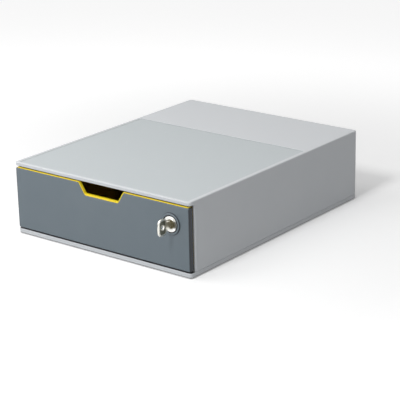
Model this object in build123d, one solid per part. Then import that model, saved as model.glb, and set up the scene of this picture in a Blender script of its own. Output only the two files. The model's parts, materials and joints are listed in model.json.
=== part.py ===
"""Desktop file drawer: a moulded housing with one lockable pull-out tray.

Millimetres, +Z up, the front faces -Y. The origin is the centre of the overall box,
key included, at desk level. Depths are given from the plane of the front and grow
towards the back, so at(d) is the y of a point d behind that plane.
"""

import os

from build123d import *

# ------------------------------------------------------------- driving sizes

# Housing
HOUSING_W = 280.0
HOUSING_D = 356.0
HOUSING_H = 95.0  # from the desk to the top
CORNER_R = 4.0  # the housing's corners, seen from above
WALL = 2.7
TOP_T = 2.6  # the top panel, under its recess
TOP_EDGE_R = 1.5
LIP_H = 5.0  # the front lip's face
LIP_T = 3.0
LIP_EDGE_R = 1.0
SIDE_SETBACK = 8.5  # the side walls end this far behind the front plane
WALL_EDGE_R = 2.4  # their rounded front edge

# Stacking recess in the top
RECESS_DEPTH = 0.6
RECESS_L = 237.0
RECESS_R = 2.5
RECESS_EDGE = 0.3
RIM_FRONT = 3.0
RIM_SIDE = 5.5

# Ribs under the top
TOP_RIB_H = 3.5
TOP_RIB_T = 1.6
TOP_RIB_COUNT = 5
TOP_RIB_FIRST = 64.0
TOP_RIB_SPACE = 8.0  # from a rib's end to the runner beside it

# Base
BASE_H = 6.0
BASE_SKIRT_T = 2.5
BASE_FLOOR_T = 2.5
BASE_EDGE = 0.7
BASE_RIB_T = 1.6
BASE_RIB_SHORT = 0.5  # the ribs stop this far above the skirt's edge
BASE_RIBS_ACROSS = 5
BASE_RIBS_ALONG = 3
LOCATING_RIM_H = 2.5
LOCATING_RIM_T = 1.4
LOCATING_RIM_PLAY = 0.2

# Feet
FOOT_R = 7.0
FOOT_T = 2.5
FOOT_PROUD = 1.0
FOOT_PLAY = 0.1
FOOT_PAD_R = 9.5
FOOT_FROM_SIDE = 24.0
FOOT_FROM_END = 26.0

# Screws: every one is a pan head with a straight shank in a moulded pilot hole
SCREW_R = 1.3
SCREW_PLAY = 0.05
SCREW_PASS_PLAY = 0.35  # the wider hole that a shank passes before its pilot
SCREW_HEAD_R = 2.75
SCREW_HEAD_H = 1.8
SCREW_HEAD_PLAY = 0.4
SCREW_HEAD_EDGE = 0.6
BASE_SCREW_L = 16.0
BASE_SCREW_SEAT = 2.4  # from the skirt's edge up to the head's seat
BASE_SCREW_DEPTHS = (36.0, 320.0)
BASE_BOSS_W = 5.7
BASE_BOSS_L = 9.0
BASE_BOSS_H = 20.0
BASE_COLUMN_R = 4.6
RUNNER_SCREW_L = 5.6
RUNNER_SCREW_DEPTHS = (70.0, 294.0)
RUNNER_SCREW_INSET = 13.0  # from the side wall's inner face
RUNNER_BOSS_R = 3.5
RUNNER_BOSS_H = 5.0

# Runners: one plastic section each, a channel that holds the tray's rim
RUNNER_T = 1.6
RUNNER_FLANGE_W = 17.0
RUNNER_START = 24.0
RUNNER_END = 342.0
STOP_TAB_H = 8.0
STOP_TAB_L = 6.0
PULL_OUT = 250.0
STOP_PLAY = 0.3

# Tray
TRAY_T = 2.0
TRAY_SIDE_SPACE = 7.3  # beside the tray, where the runners are
TRAY_BACK_SPACE = 5.8
TRAY_CORNER_R = 5.0
TRAY_FLOOR_R = 3.0
RIM_T = 2.0
RIM_PLAY = 0.3  # above and below the rim in its channel
RIM_SIDE_PLAY = 0.5
RIM_CORNER_R = 3.0
LEDGE_PLAY = 1.0  # from the tray's side to the runner's ledge
BACK_RIM_W = 2.0
STOP_LUG_L = 8.0
STOP_LUG_PLAY = 0.5
STOP_LUG_RIB_T = 1.6
FRONT_FLANGE_DEPTH = 3.4
FRONT_FLANGE_T = 1.5
NOTCH_FLANGE_DEPTH = 5.0  # the deeper flange round the finger notch
NOTCH_FLANGE_SPACE = 4.0  # how far it runs on past the notch
BEAD_FRONT = 0.8  # the face of the bead that shows, behind the front plane
BEAD_PLAY = 0.1  # between the bead and the cap's edge
FRONT_CORNER_R = 1.5
STRIP_H = 1.5  # the tray's bead that shows above the front cap

# Front cap
CAP_T = 2.5
CAP_SIDE_INSET = 1.0  # inside the housing's width
CAP_GAP_BELOW = 1.2
CAP_GAP_ABOVE = 2.7
CAP_RETURN_T = 2.1
CAP_RETURN_DEPTH = 6.0
CAP_EDGE_R = 1.6  # the rounding all round the cap's face
CAP_PLAY = 0.3  # between the cap's returns and the tray
CAP_BOSS_R = 3.5
CAP_BOSS_PLAY = 0.2
CAP_SCREW_L = 3.2
CAP_SCREW_HEAD_R = 5.0
CAP_SCREW_X = 75.0
CAP_SCREW_FROM_BELOW = 14.0
CAP_SCREW_FROM_ABOVE = 19.0

# Finger notch
NOTCH_X = 3.0
NOTCH_TOP_W = 72.6
NOTCH_BOTTOM_W = 53.0
NOTCH_DEPTH = 15.0
NOTCH_TOP_R = 2.0
NOTCH_BOTTOM_R = 3.0
NOTCH_BORDER_SIDE = 1.2  # the tray's bead that shows inside the cap's notch
NOTCH_BORDER_BELOW = 2.0

# Lock
LOCK_FROM_SIDE = 28.7
LOCK_FROM_TOP = 31.5
COLLAR_R = 13.4
COLLAR_INNER_R = 10.8
COLLAR_H = 1.7
COLLAR_EDGE = 0.6
BARREL_HEAD_R = 10.0
BARREL_HEAD_T = 1.5
BARREL_DISH = 0.6  # how far the head falls towards the plug
BARREL_R = 8.0
BARREL_FLAT = 7.2  # from the axis to each of the two flats
BARREL_L = 20.0
BARREL_HOLE_PLAY = 0.2
NUT_ACROSS_FLATS = 22.0
NUT_T = 4.0
PLUG_R = 6.0
PLUG_FIT = 0.05
PLUG_RIM_R = 7.0
PLUG_RIM_T = 0.9
PLUG_FACE = 1.2  # the plug's face in front of the cap
PLUG_EDGE = 0.3
TAIL_SIDE = 7.0
TAIL_PLAY = 0.1
KEYWAY_DEPTH = 18.0
CAM_T = 2.0
CAM_W = 11.0
CAM_HUB_R = 8.0
CAM_END_PLAY = 0.3  # between the barrel's end and the cam
CAM_OVERLAP = 3.5  # how far the raised cam reaches behind the strike's lip
CAM_SCREW_L = 4.5
CAM_SCREW_HEAD_R = 4.5

# Strike
STRIKE_T = 1.5
STRIKE_W = 14.0
STRIKE_L = 24.0
STRIKE_DROP = 9.4  # from the hood's underside to the lip's end
STRIKE_BOSS_H = 3.5
STRIKE_CAM_PLAY = 0.5
STRIKE_SCREW_L = 4.2
STRIKE_SCREW_STEPS = (10.0, 18.5)  # behind the lip
STRIKE_TRAY_PLAY = 4.0  # from the lip's end down to the tray's back wall

# Key
KEY_T = 2.0
KEY_PLAY = 0.15  # on each side in the keyway
KEY_TIP_PLAY = 0.5
BLADE_H = 6.6
BLADE_CUTS = 5
BLADE_CUT_PITCH = 2.8
BLADE_CUT_DEPTH = 1.2
BOW_H = 21.0
BOW_L = 15.0
BOW_R = 6.0
BOW_HOLE_R = 2.5
BOW_FROM_CAP = 16.0  # the bow's centre in front of the cap
BOW_NICK_R = 5.0
BOW_NICK_DEPTH = 0.7
BOW_NICK_UP = 4.5
NECK_H = 9.5
NECK_START = 1.8  # in front of the cap

# Buffers
BUFFER_R = 5.0
BUFFER_POCKET = 0.8
BUFFER_PLAY = 0.1
BUFFER_GAP = 0.3  # between a buffer and the closed tray
BUFFER_EDGE = 1.5
BUFFER_X = 90.0
BUFFER_Z = 45.0

# --------------------------------------------------------- places worked out

KEY_PROUD = BOW_FROM_CAP + BOW_L / 2
FRONT_Y = (KEY_PROUD - HOUSING_D) / 2

OUT_X = HOUSING_W / 2
IN_X = OUT_X - WALL
BASE_TOP_Z = FOOT_PROUD + BASE_H
LIP_UNDER_Z = HOUSING_H - LIP_H
TOP_UNDER_Z = HOUSING_H - RECESS_DEPTH - TOP_T

CAP_X = OUT_X - CAP_SIDE_INSET
CAP_BOTTOM_Z = BASE_TOP_Z + CAP_GAP_BELOW
CAP_TOP_Z = LIP_UNDER_Z - CAP_GAP_ABOVE

PANEL_X = CAP_X - CAP_RETURN_T - CAP_PLAY
PANEL_BOTTOM_Z = CAP_BOTTOM_Z + CAP_RETURN_T + CAP_PLAY
PANEL_TOP_Z = CAP_TOP_Z + STRIP_H

TRAY_X = IN_X - TRAY_SIDE_SPACE
TRAY_FRONT = CAP_T
TRAY_BACK = HOUSING_D - WALL - TRAY_BACK_SPACE

RUNNER_TOP_Z = TOP_UNDER_Z - RUNNER_BOSS_H
RIM_TOP_Z = RUNNER_TOP_Z - RUNNER_T - RIM_PLAY
LEDGE_TOP_Z = RIM_TOP_Z - RIM_T - RIM_PLAY
LEDGE_BOTTOM_Z = LEDGE_TOP_Z - RUNNER_T
WEB_X = IN_X - RUNNER_T
RIM_X = WEB_X - RIM_SIDE_PLAY
LEDGE_X = TRAY_X + LEDGE_PLAY
RUNNER_SCREW_X = IN_X - RUNNER_SCREW_INSET

LOCK_X = OUT_X - LOCK_FROM_SIDE
LOCK_Z = HOUSING_H - LOCK_FROM_TOP
CAM_FRONT = BARREL_L + CAM_END_PLAY
STRIKE_LIP_Z = TOP_UNDER_Z - STRIKE_DROP
STRIKE_TOP_Z = TOP_UNDER_Z - STRIKE_BOSS_H
STRIKE_FRONT = CAM_FRONT - STRIKE_CAM_PLAY - STRIKE_T
STRIKE_SCREW_DEPTHS = [STRIKE_FRONT + STRIKE_T + step for step in STRIKE_SCREW_STEPS]
CAM_REACH = STRIKE_LIP_Z + CAM_OVERLAP - LOCK_Z
TRAY_BACK_TOP_Z = STRIKE_LIP_Z - STRIKE_TRAY_PLAY

BASE_SCREW_X = IN_X - BASE_BOSS_W / 2
BASE_SCREW_SEAT_Z = FOOT_PROUD + BASE_SCREW_SEAT
PILOT_R = SCREW_R + SCREW_PLAY
PASS_R = SCREW_R + SCREW_PASS_PLAY

CAP_SCREW_Z = (CAP_BOTTOM_Z + CAP_SCREW_FROM_BELOW, CAP_TOP_Z - CAP_SCREW_FROM_ABOVE)
CAP_SCREW_PLACES = [(x, z) for x in (-CAP_SCREW_X, CAP_SCREW_X) for z in CAP_SCREW_Z]


def at(depth):
    """The y of a point this far behind the front plane."""
    return FRONT_Y + depth


# ------------------------------------------------------------ small helpers


def block(x, depth, z):
    """A box between three pairs of limits: x, depth behind the front, and z."""
    size = (x[1] - x[0], depth[1] - depth[0], z[1] - z[0])
    corner = Pos(x[0], at(depth[0]), z[0])
    return corner * Box(*size, align=(Align.MIN, Align.MIN, Align.MIN))


def plan_slab(x, depth, z, radius):
    """A slab with four equal round corners in plan."""
    outline = RectangleRounded(x[1] - x[0], depth[1] - depth[0], radius)
    centre = Pos((x[0] + x[1]) / 2, at((depth[0] + depth[1]) / 2), z[0])
    return extrude(centre * outline, amount=z[1] - z[0])


def plan_slab_two_radii(x, depth, z, front_r, back_r):
    """A slab whose front corners and back corners have their own radius in plan."""
    outline = Rectangle(x[1] - x[0], depth[1] - depth[0])
    if front_r:
        outline = fillet(outline.vertices().group_by(Axis.Y)[0], front_r)
    if back_r:
        outline = fillet(outline.vertices().group_by(Axis.Y)[-1], back_r)
    centre = Pos((x[0] + x[1]) / 2, at((depth[0] + depth[1]) / 2), z[0])
    return extrude(centre * outline, amount=z[1] - z[0])


def front_plate(outline, depth):
    """A sketch drawn as seen from the front, made solid between two depths."""
    plane = Plane(origin=(0, at(depth[1]), 0), x_dir=(1, 0, 0), z_dir=(0, -1, 0))
    return extrude(plane * outline, amount=depth[1] - depth[0])


def post(x, depth, z, radius):
    """An upright cylinder between two heights."""
    foot = Pos(x, at(depth), z[0])
    return foot * Cylinder(radius, z[1] - z[0], align=(Align.CENTER, Align.CENTER, Align.MIN))


def edges_at_z(part, z):
    """The edges that lie in one level plane."""
    return part.edges().filter_by_position(Axis.Z, z - 0.01, z + 0.01)


def front_face_edges(part):
    """The edges that lie in the front plane."""
    return part.edges().filter_by_position(Axis.Y, FRONT_Y - 0.01, FRONT_Y + 0.01)


def mirrored(part):
    """The same piece on the other side."""
    return mirror(part, about=Plane.YZ)


def both_sides(part):
    """A feature and its mirror image."""
    return part + mirrored(part)


def pan_screw(length, head_r):
    """A screw that points up, with the underside of its head at z = 0."""
    up = (Align.CENTER, Align.CENTER, Align.MIN)
    down = (Align.CENTER, Align.CENTER, Align.MAX)
    head = Cylinder(head_r, SCREW_HEAD_H, align=down)
    head = chamfer(head.edges().sort_by(Axis.Z)[0], SCREW_HEAD_EDGE)
    return head + Cylinder(SCREW_R, length, align=up)


TO_FRONT = Rot(X=90)  # turns what points up so that it points out of the front
LOCK_PLACE = Pos(LOCK_X, FRONT_Y, LOCK_Z) * TO_FRONT


# ------------------------------------------------------------------ housing


def hood():
    """The moulded cover: top with lip and recess, sides and back in one piece."""
    full_x = (-OUT_X, OUT_X)
    shell = plan_slab_two_radii(
        full_x, (SIDE_SETBACK, HOUSING_D), (BASE_TOP_Z, HOUSING_H), WALL_EDGE_R, CORNER_R
    )
    lip_end = SIDE_SETBACK + 2 * WALL_EDGE_R
    lip = plan_slab_two_radii(full_x, (0, lip_end), (LIP_UNDER_Z, HOUSING_H), CORNER_R, 0)
    under_edges = edges_at_z(lip, LIP_UNDER_Z).filter_by_position(
        Axis.Y, FRONT_Y - 1, at(lip_end) - 0.01
    )
    lip = fillet(under_edges, LIP_EDGE_R)
    shell += lip
    shell = fillet(edges_at_z(shell, HOUSING_H), TOP_EDGE_R)
    cavity = plan_slab(
        (-IN_X, IN_X), (LIP_T, HOUSING_D - WALL), (0, TOP_UNDER_Z), CORNER_R - WALL
    )
    part = shell - cavity

    recess = plan_slab(
        (-OUT_X + RIM_SIDE, OUT_X - RIM_SIDE),
        (RIM_FRONT, RIM_FRONT + RECESS_L),
        (HOUSING_H - RECESS_DEPTH, HOUSING_H + WALL),
        RECESS_R,
    )
    part -= recess
    step_edges = edges_at_z(part, HOUSING_H).filter_by_position(
        Axis.Y, at(RIM_FRONT) - 0.01, at(RIM_FRONT + RECESS_L) + 0.01
    )
    inner_x = OUT_X - RIM_SIDE + 0.01
    part = chamfer(step_edges.filter_by_position(Axis.X, -inner_x, inner_x), RECESS_EDGE)

    rib_x = IN_X - RUNNER_FLANGE_W - TOP_RIB_SPACE
    rib_step = (TRAY_BACK - 2 * TOP_RIB_FIRST) / (TOP_RIB_COUNT - 1)
    for index in range(TOP_RIB_COUNT):
        front = TOP_RIB_FIRST + index * rib_step
        depth = (front, front + TOP_RIB_T)
        part += block((-rib_x, rib_x), depth, (TOP_UNDER_Z - TOP_RIB_H, TOP_UNDER_Z))

    for depth in RUNNER_SCREW_DEPTHS:
        height = (RUNNER_TOP_Z, TOP_UNDER_Z)
        part += both_sides(post(RUNNER_SCREW_X, depth, height, RUNNER_BOSS_R))
        part -= both_sides(post(RUNNER_SCREW_X, depth, height, PILOT_R))
    for depth in STRIKE_SCREW_DEPTHS:
        height = (STRIKE_TOP_Z, TOP_UNDER_Z)
        part += post(LOCK_X, depth, height, RUNNER_BOSS_R)
        part -= post(LOCK_X, depth, height, PILOT_R)
    for depth in BASE_SCREW_DEPTHS:
        boss = block(
            (IN_X - BASE_BOSS_W, OUT_X - WALL / 2),
            (depth - BASE_BOSS_L / 2, depth + BASE_BOSS_L / 2),
            (BASE_TOP_Z, BASE_TOP_Z + BASE_BOSS_H),
        )
        pilot_z = (BASE_TOP_Z, BASE_SCREW_SEAT_Z + BASE_SCREW_L + SCREW_HEAD_PLAY)
        part += both_sides(boss)
        part -= both_sides(post(BASE_SCREW_X, depth, pilot_z, PILOT_R))
    for x in (-BUFFER_X, BUFFER_X):
        part -= buffer_post(x, HOUSING_D - WALL - 1, BUFFER_R + BUFFER_PLAY)
    return part


def base_plate():
    """The moulded base: floor, skirt and ribs, with pockets for feet and screws."""
    full_x = (-OUT_X, OUT_X)
    part = plan_slab(full_x, (0, HOUSING_D), (FOOT_PROUD, BASE_TOP_Z), CORNER_R)
    part = chamfer(edges_at_z(part, FOOT_PROUD) + edges_at_z(part, BASE_TOP_Z), BASE_EDGE)
    inside_x = OUT_X - BASE_SKIRT_T
    inside_depth = (BASE_SKIRT_T, HOUSING_D - BASE_SKIRT_T)
    floor_z = BASE_TOP_Z - BASE_FLOOR_T
    part -= plan_slab((-inside_x, inside_x), inside_depth, (0, floor_z), CORNER_R - BASE_SKIRT_T)

    rib_z = (FOOT_PROUD + BASE_RIB_SHORT, floor_z)
    for index in range(1, BASE_RIBS_ACROSS + 1):
        middle = index * HOUSING_D / (BASE_RIBS_ACROSS + 1)
        depth = (middle - BASE_RIB_T / 2, middle + BASE_RIB_T / 2)
        part += block((-inside_x, inside_x), depth, rib_z)
    for index in range(1, BASE_RIBS_ALONG + 1):
        middle = index * HOUSING_W / (BASE_RIBS_ALONG + 1) - OUT_X
        part += block((middle - BASE_RIB_T / 2, middle + BASE_RIB_T / 2), inside_depth, rib_z)

    part += locating_rim()
    for x, depth in foot_places().values():
        part += post(x, depth, (FOOT_PROUD, floor_z), FOOT_PAD_R)
        part -= post(x, depth, (0, FOOT_T), FOOT_R + FOOT_PLAY)
    for depth in BASE_SCREW_DEPTHS:
        part += both_sides(post(BASE_SCREW_X, depth, (FOOT_PROUD, floor_z), BASE_COLUMN_R))
        head_hole = post(
            BASE_SCREW_X, depth, (0, BASE_SCREW_SEAT_Z), SCREW_HEAD_R + SCREW_HEAD_PLAY
        )
        through = post(BASE_SCREW_X, depth, (0, BASE_TOP_Z), PASS_R)
        part -= both_sides(head_hole) + both_sides(through)
    return part


def locating_rim():
    """The low wall on the base that centres the hood, broken at the screw bosses."""
    x = IN_X - LOCATING_RIM_PLAY
    back = HOUSING_D - WALL - LOCATING_RIM_PLAY
    front = SIDE_SETBACK + WALL_EDGE_R
    z = (BASE_TOP_Z, BASE_TOP_Z + LOCATING_RIM_H)
    side = block((x - LOCATING_RIM_T, x), (front, back), z)
    rear = block((-x, x), (back - LOCATING_RIM_T, back), z)
    corner = CORNER_R - WALL
    rim = both_sides(side) + rear
    rim = fillet(rim.edges().filter_by(Axis.Z).group_by(Axis.Y)[-1], corner)
    for depth in BASE_SCREW_DEPTHS:
        half = BASE_BOSS_L / 2 + LOCATING_RIM_PLAY
        gap = block((IN_X - BASE_BOSS_W, OUT_X), (depth - half, depth + half), z)
        rim -= both_sides(gap)
    return rim


def foot_places():
    """Each foot's node name with its x and depth."""
    x = OUT_X - FOOT_FROM_SIDE
    front = FOOT_FROM_END
    rear = HOUSING_D - FOOT_FROM_END
    return {
        "foot_front_left": (-x, front),
        "foot_front_right": (x, front),
        "foot_rear_left": (-x, rear),
        "foot_rear_right": (x, rear),
    }


def foot(x, depth):
    """A rubber disc in its pocket, standing a little proud of the base."""
    return post(x, depth, (0, FOOT_T), FOOT_R)


def runner():
    """The right-hand runner: screw flange, web and ledge, with a stop at the front."""
    length = (RUNNER_START, RUNNER_END)
    flange = block((IN_X - RUNNER_FLANGE_W, IN_X), length, (RUNNER_TOP_Z - RUNNER_T, RUNNER_TOP_Z))
    web = block((WEB_X, IN_X), length, (LEDGE_BOTTOM_Z, RUNNER_TOP_Z))
    ledge = block((LEDGE_X, IN_X), length, (LEDGE_BOTTOM_Z, LEDGE_TOP_Z))
    stop = block(
        (LEDGE_X, IN_X),
        (RUNNER_START, RUNNER_START + STOP_TAB_L),
        (LEDGE_BOTTOM_Z - STOP_TAB_H, LEDGE_BOTTOM_Z),
    )
    part = flange + web + ledge + stop
    for depth in RUNNER_SCREW_DEPTHS:
        part -= post(RUNNER_SCREW_X, depth, (RUNNER_TOP_Z - RUNNER_T, RUNNER_TOP_Z), PASS_R)
    return part


def runner_screws():
    screw = pan_screw(RUNNER_SCREW_L, SCREW_HEAD_R)
    seat_z = RUNNER_TOP_Z - RUNNER_T
    xs = (-RUNNER_SCREW_X, RUNNER_SCREW_X)
    return [Pos(x, at(depth), seat_z) * screw for x in xs for depth in RUNNER_SCREW_DEPTHS]


def base_screws():
    screw = pan_screw(BASE_SCREW_L, SCREW_HEAD_R)
    xs = (-BASE_SCREW_X, BASE_SCREW_X)
    return [Pos(x, at(depth), BASE_SCREW_SEAT_Z) * screw for x in xs for depth in BASE_SCREW_DEPTHS]


def lock_strike():
    """A steel angle under the hood's top. The raised cam catches its lip."""
    x = (LOCK_X - STRIKE_W / 2, LOCK_X + STRIKE_W / 2)
    lip = block(x, (STRIKE_FRONT, STRIKE_FRONT + STRIKE_T), (STRIKE_LIP_Z, STRIKE_TOP_Z))
    flange = block(
        x, (STRIKE_FRONT, STRIKE_FRONT + STRIKE_L), (STRIKE_TOP_Z - STRIKE_T, STRIKE_TOP_Z)
    )
    part = lip + flange
    outer_bend = edges_at_z(part, STRIKE_TOP_Z).sort_by(Axis.Y)[0]
    part = fillet(outer_bend, STRIKE_T)
    for depth in STRIKE_SCREW_DEPTHS:
        part -= post(LOCK_X, depth, (STRIKE_TOP_Z - STRIKE_T, STRIKE_TOP_Z), PASS_R)
    return part


def strike_screws():
    screw = pan_screw(STRIKE_SCREW_L, SCREW_HEAD_R)
    seat_z = STRIKE_TOP_Z - STRIKE_T
    return [Pos(LOCK_X, at(depth), seat_z) * screw for depth in STRIKE_SCREW_DEPTHS]


def buffer_post(x, tip, radius):
    """A cylinder from a depth into the pocket of the back wall."""
    length = HOUSING_D - WALL + BUFFER_POCKET - tip
    turned = Pos(x, at(tip), BUFFER_Z) * Rot(X=-90)
    return turned * Cylinder(radius, length, align=(Align.CENTER, Align.CENTER, Align.MIN))


def buffer(x):
    """A rubber buffer that the closed tray stops against."""
    part = buffer_post(x, TRAY_BACK + BUFFER_GAP, BUFFER_R)
    return chamfer(part.edges().sort_by(Axis.Y)[0], BUFFER_EDGE)


# ------------------------------------------------------------------- drawer


def front_outline(half_w, bottom_z, top_z, border_side, border_below):
    """A front plate's outline with the finger notch in its top edge.

    The borders draw the notch in, for the tray's edge that shows inside the cap's.
    """
    plate = Pos(0, (bottom_z + top_z) / 2) * Rectangle(2 * half_w, top_z - bottom_z)
    plate = fillet(plate.vertices(), FRONT_CORNER_R)
    floor_z = CAP_TOP_Z - NOTCH_DEPTH + border_below
    slope = (NOTCH_TOP_W - NOTCH_BOTTOM_W) / 2 / NOTCH_DEPTH
    top_half = NOTCH_TOP_W / 2 - border_side + slope * (top_z - CAP_TOP_Z)
    floor_half = NOTCH_BOTTOM_W / 2 - border_side + slope * border_below
    notch = Polygon(
        (NOTCH_X - top_half, top_z),
        (NOTCH_X - floor_half, floor_z),
        (NOTCH_X + floor_half, floor_z),
        (NOTCH_X + top_half, top_z),
        align=None,
    )
    plate -= notch
    inside = plate.vertices().filter_by_position(Axis.X, -half_w / 2, half_w / 2)
    floor_corners = inside.filter_by_position(Axis.Y, floor_z - 0.01, floor_z + 0.01)
    plate = fillet(floor_corners, NOTCH_BOTTOM_R)
    inside = plate.vertices().filter_by_position(Axis.X, -half_w / 2, half_w / 2)
    top_corners = inside.filter_by_position(Axis.Y, top_z - 0.01, top_z + 0.01)
    return fillet(top_corners, NOTCH_TOP_R)


def lock_hole(depth):
    """The hole for the lock's body, with its two flats, between two depths."""
    flat = BARREL_FLAT + BARREL_HOLE_PLAY
    tall = BARREL_R + BARREL_HOLE_PLAY
    outline = Circle(tall) & Rectangle(2 * flat, 2 * tall)
    return front_plate(Pos(LOCK_X, LOCK_Z) * outline, depth)


def cap_screw_holes(radius, depth):
    """Round holes at the front cap's screws, between two depths."""
    holes = [Pos(x, z) * Circle(radius) for x, z in CAP_SCREW_PLACES]
    return front_plate(Sketch() + holes, depth)


def drawer_tray():
    """The moulded tray: front panel with its flange, bin, rims and stop lugs."""
    outline = front_outline(
        PANEL_X, PANEL_BOTTOM_Z, PANEL_TOP_Z, NOTCH_BORDER_SIDE, NOTCH_BORDER_BELOW
    )
    panel_back = TRAY_FRONT + TRAY_T
    panel = front_plate(outline, (TRAY_FRONT, panel_back))
    border = outline - offset(outline, amount=-FRONT_FLANGE_T)
    flange = front_plate(border, (TRAY_FRONT, TRAY_FRONT + FRONT_FLANGE_DEPTH))
    around_w = NOTCH_TOP_W + 2 * NOTCH_FLANGE_SPACE
    around_h = 2 * (NOTCH_DEPTH + NOTCH_FLANGE_SPACE)
    around_notch = Pos(NOTCH_X, CAP_TOP_Z) * Rectangle(around_w, around_h)
    notch_end = TRAY_FRONT + NOTCH_FLANGE_DEPTH
    flange += front_plate(border & around_notch, (TRAY_FRONT, notch_end))
    covered = offset(front_outline(CAP_X, CAP_BOTTOM_Z, CAP_TOP_Z, 0, 0), amount=BEAD_PLAY)
    bead = front_plate(outline - covered, (BEAD_FRONT, TRAY_FRONT))

    floor_top_z = PANEL_BOTTOM_Z + TRAY_T
    inner_x = TRAY_X - TRAY_T
    bin_outside = plan_slab_two_radii(
        (-TRAY_X, TRAY_X), (panel_back, TRAY_BACK), (PANEL_BOTTOM_Z, RIM_TOP_Z), 0, TRAY_CORNER_R
    )
    low_edges = edges_at_z(bin_outside, PANEL_BOTTOM_Z).filter_by_position(
        Axis.Y, at(panel_back) + 0.01, at(TRAY_BACK) + 0.01
    )
    bin_outside = fillet(low_edges, TRAY_FLOOR_R)
    bin_inside = plan_slab(
        (-inner_x, inner_x),
        (panel_back, TRAY_BACK - TRAY_T),
        (floor_top_z, HOUSING_H),
        TRAY_CORNER_R - TRAY_T,
    )
    bin_inside = fillet(edges_at_z(bin_inside, floor_top_z), TRAY_CORNER_R - TRAY_T - 0.01)

    rim_z = (RIM_TOP_Z - RIM_T, RIM_TOP_Z)
    rims = plan_slab_two_radii(
        (-RIM_X, RIM_X), (panel_back, TRAY_BACK - TRAY_CORNER_R), rim_z, 0, RIM_CORNER_R
    )
    back_rim_x = TRAY_X - TRAY_CORNER_R
    back_rim = block(
        (-back_rim_x, back_rim_x),
        (TRAY_BACK - TRAY_T, TRAY_BACK + BACK_RIM_W),
        (TRAY_BACK_TOP_Z - RIM_T, TRAY_BACK_TOP_Z),
    )
    lowered_back = block(
        (-inner_x, inner_x), (TRAY_BACK - TRAY_CORNER_R, TRAY_BACK + 1), (TRAY_BACK_TOP_Z, HOUSING_H)
    )
    part = bin_outside + rims + panel + flange + bead + both_sides(stop_lug())
    part = part - bin_inside - lowered_back + back_rim
    wall = (TRAY_FRONT - 1, panel_back + 1)
    part -= lock_hole(wall)
    part -= cap_screw_holes(CAP_BOSS_R + CAP_BOSS_PLAY, wall)
    return part


def stop_lug():
    """The lug on the tray's right side that meets the runner's stop tab."""
    front = RUNNER_START + STOP_TAB_L + PULL_OUT + STOP_PLAY
    top_z = LEDGE_BOTTOM_Z - STOP_LUG_PLAY
    bottom_z = LEDGE_BOTTOM_Z - STOP_TAB_H
    x = (TRAY_X - TRAY_T / 2, RIM_X)
    face = block(x, (front, front + STOP_LUG_RIB_T), (bottom_z, top_z))
    shelf = block(x, (front, front + STOP_LUG_L), (top_z - STOP_LUG_RIB_T, top_z))
    end = front + STOP_LUG_L
    rear = block(x, (end - STOP_LUG_RIB_T, end), (bottom_z, top_z))
    return face + shelf + rear


def drawer_fascia():
    """The front cap: plate, returns, finger notch, lock collar and screw bosses."""
    outline = front_outline(CAP_X, CAP_BOTTOM_Z, CAP_TOP_Z, 0, 0)
    part = front_plate(outline, (0, CAP_RETURN_DEPTH))
    pocket_x = CAP_X - CAP_RETURN_T
    pocket = (CAP_BOTTOM_Z + CAP_RETURN_T, HOUSING_H)
    part -= block((-pocket_x, pocket_x), (CAP_T, CAP_RETURN_DEPTH + 1), pocket)

    part = fillet(front_face_edges(part), CAP_EDGE_R)

    collar = Circle(COLLAR_R) - Circle(COLLAR_INNER_R)
    collar = front_plate(Pos(LOCK_X, LOCK_Z) * collar, (-COLLAR_H, CAP_T / 2))
    rims = collar.edges().filter_by_position(Axis.Y, at(-COLLAR_H) - 0.01, at(-COLLAR_H) + 0.01)
    part += chamfer(rims, COLLAR_EDGE)
    part -= lock_hole((-1, CAP_T + 1))

    part += cap_screw_holes(CAP_BOSS_R, (CAP_T / 2, CAP_T + TRAY_T))
    pilot_end = CAP_T + TRAY_T - CAP_SCREW_L - SCREW_PLAY
    part -= cap_screw_holes(PILOT_R, (pilot_end, CAP_T + TRAY_T + 1))
    return part


def fascia_screws():
    screw = TO_FRONT * pan_screw(CAP_SCREW_L, CAP_SCREW_HEAD_R)
    seat = at(CAP_T + TRAY_T)
    return [Pos(x, seat, z) * screw for x, z in CAP_SCREW_PLACES]


# --------------------------------------------------------------------- lock
# These pieces are drawn with +Z out of the front and z = 0 on the cap's face.


def lock_barrel():
    """The lock's body: a dished head and a threaded shank with two flats."""
    bore_r = PLUG_R + PLUG_FIT
    rim_bore_r = PLUG_RIM_R + PLUG_FIT
    rim_seat = PLUG_FACE - PLUG_RIM_T - PLUG_FIT
    dish = BARREL_HEAD_T - BARREL_DISH
    crest_r = BARREL_HEAD_R - BARREL_DISH
    section = Polygon(
        (bore_r, -BARREL_L),
        (BARREL_R, -BARREL_L),
        (BARREL_R, 0),
        (BARREL_HEAD_R, 0),
        (BARREL_HEAD_R, dish),
        (crest_r, BARREL_HEAD_T),
        (rim_bore_r, dish),
        (rim_bore_r, rim_seat),
        (bore_r, rim_seat),
        align=None,
    )
    turned = revolve(Plane.XZ * section, axis=Axis.Z)
    down = (Align.CENTER, Align.CENTER, Align.MAX)
    shank = Box(2 * BARREL_FLAT, 2 * BARREL_R, BARREL_L, align=down)
    head = Cylinder(BARREL_HEAD_R, BARREL_HEAD_T, align=(Align.CENTER, Align.CENTER, Align.MIN))
    return LOCK_PLACE * (turned & (shank + head))


def lock_nut():
    """The hexagon nut that clamps the lock to the tray's front wall."""
    top = -CAP_T - TRAY_T
    ring = RegularPolygon(NUT_ACROSS_FLATS / 2, 6, major_radius=False)
    ring -= Circle(BARREL_R + BARREL_HOLE_PLAY)
    return LOCK_PLACE * extrude(Pos(0, 0, top - NUT_T) * ring, amount=NUT_T)


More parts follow.
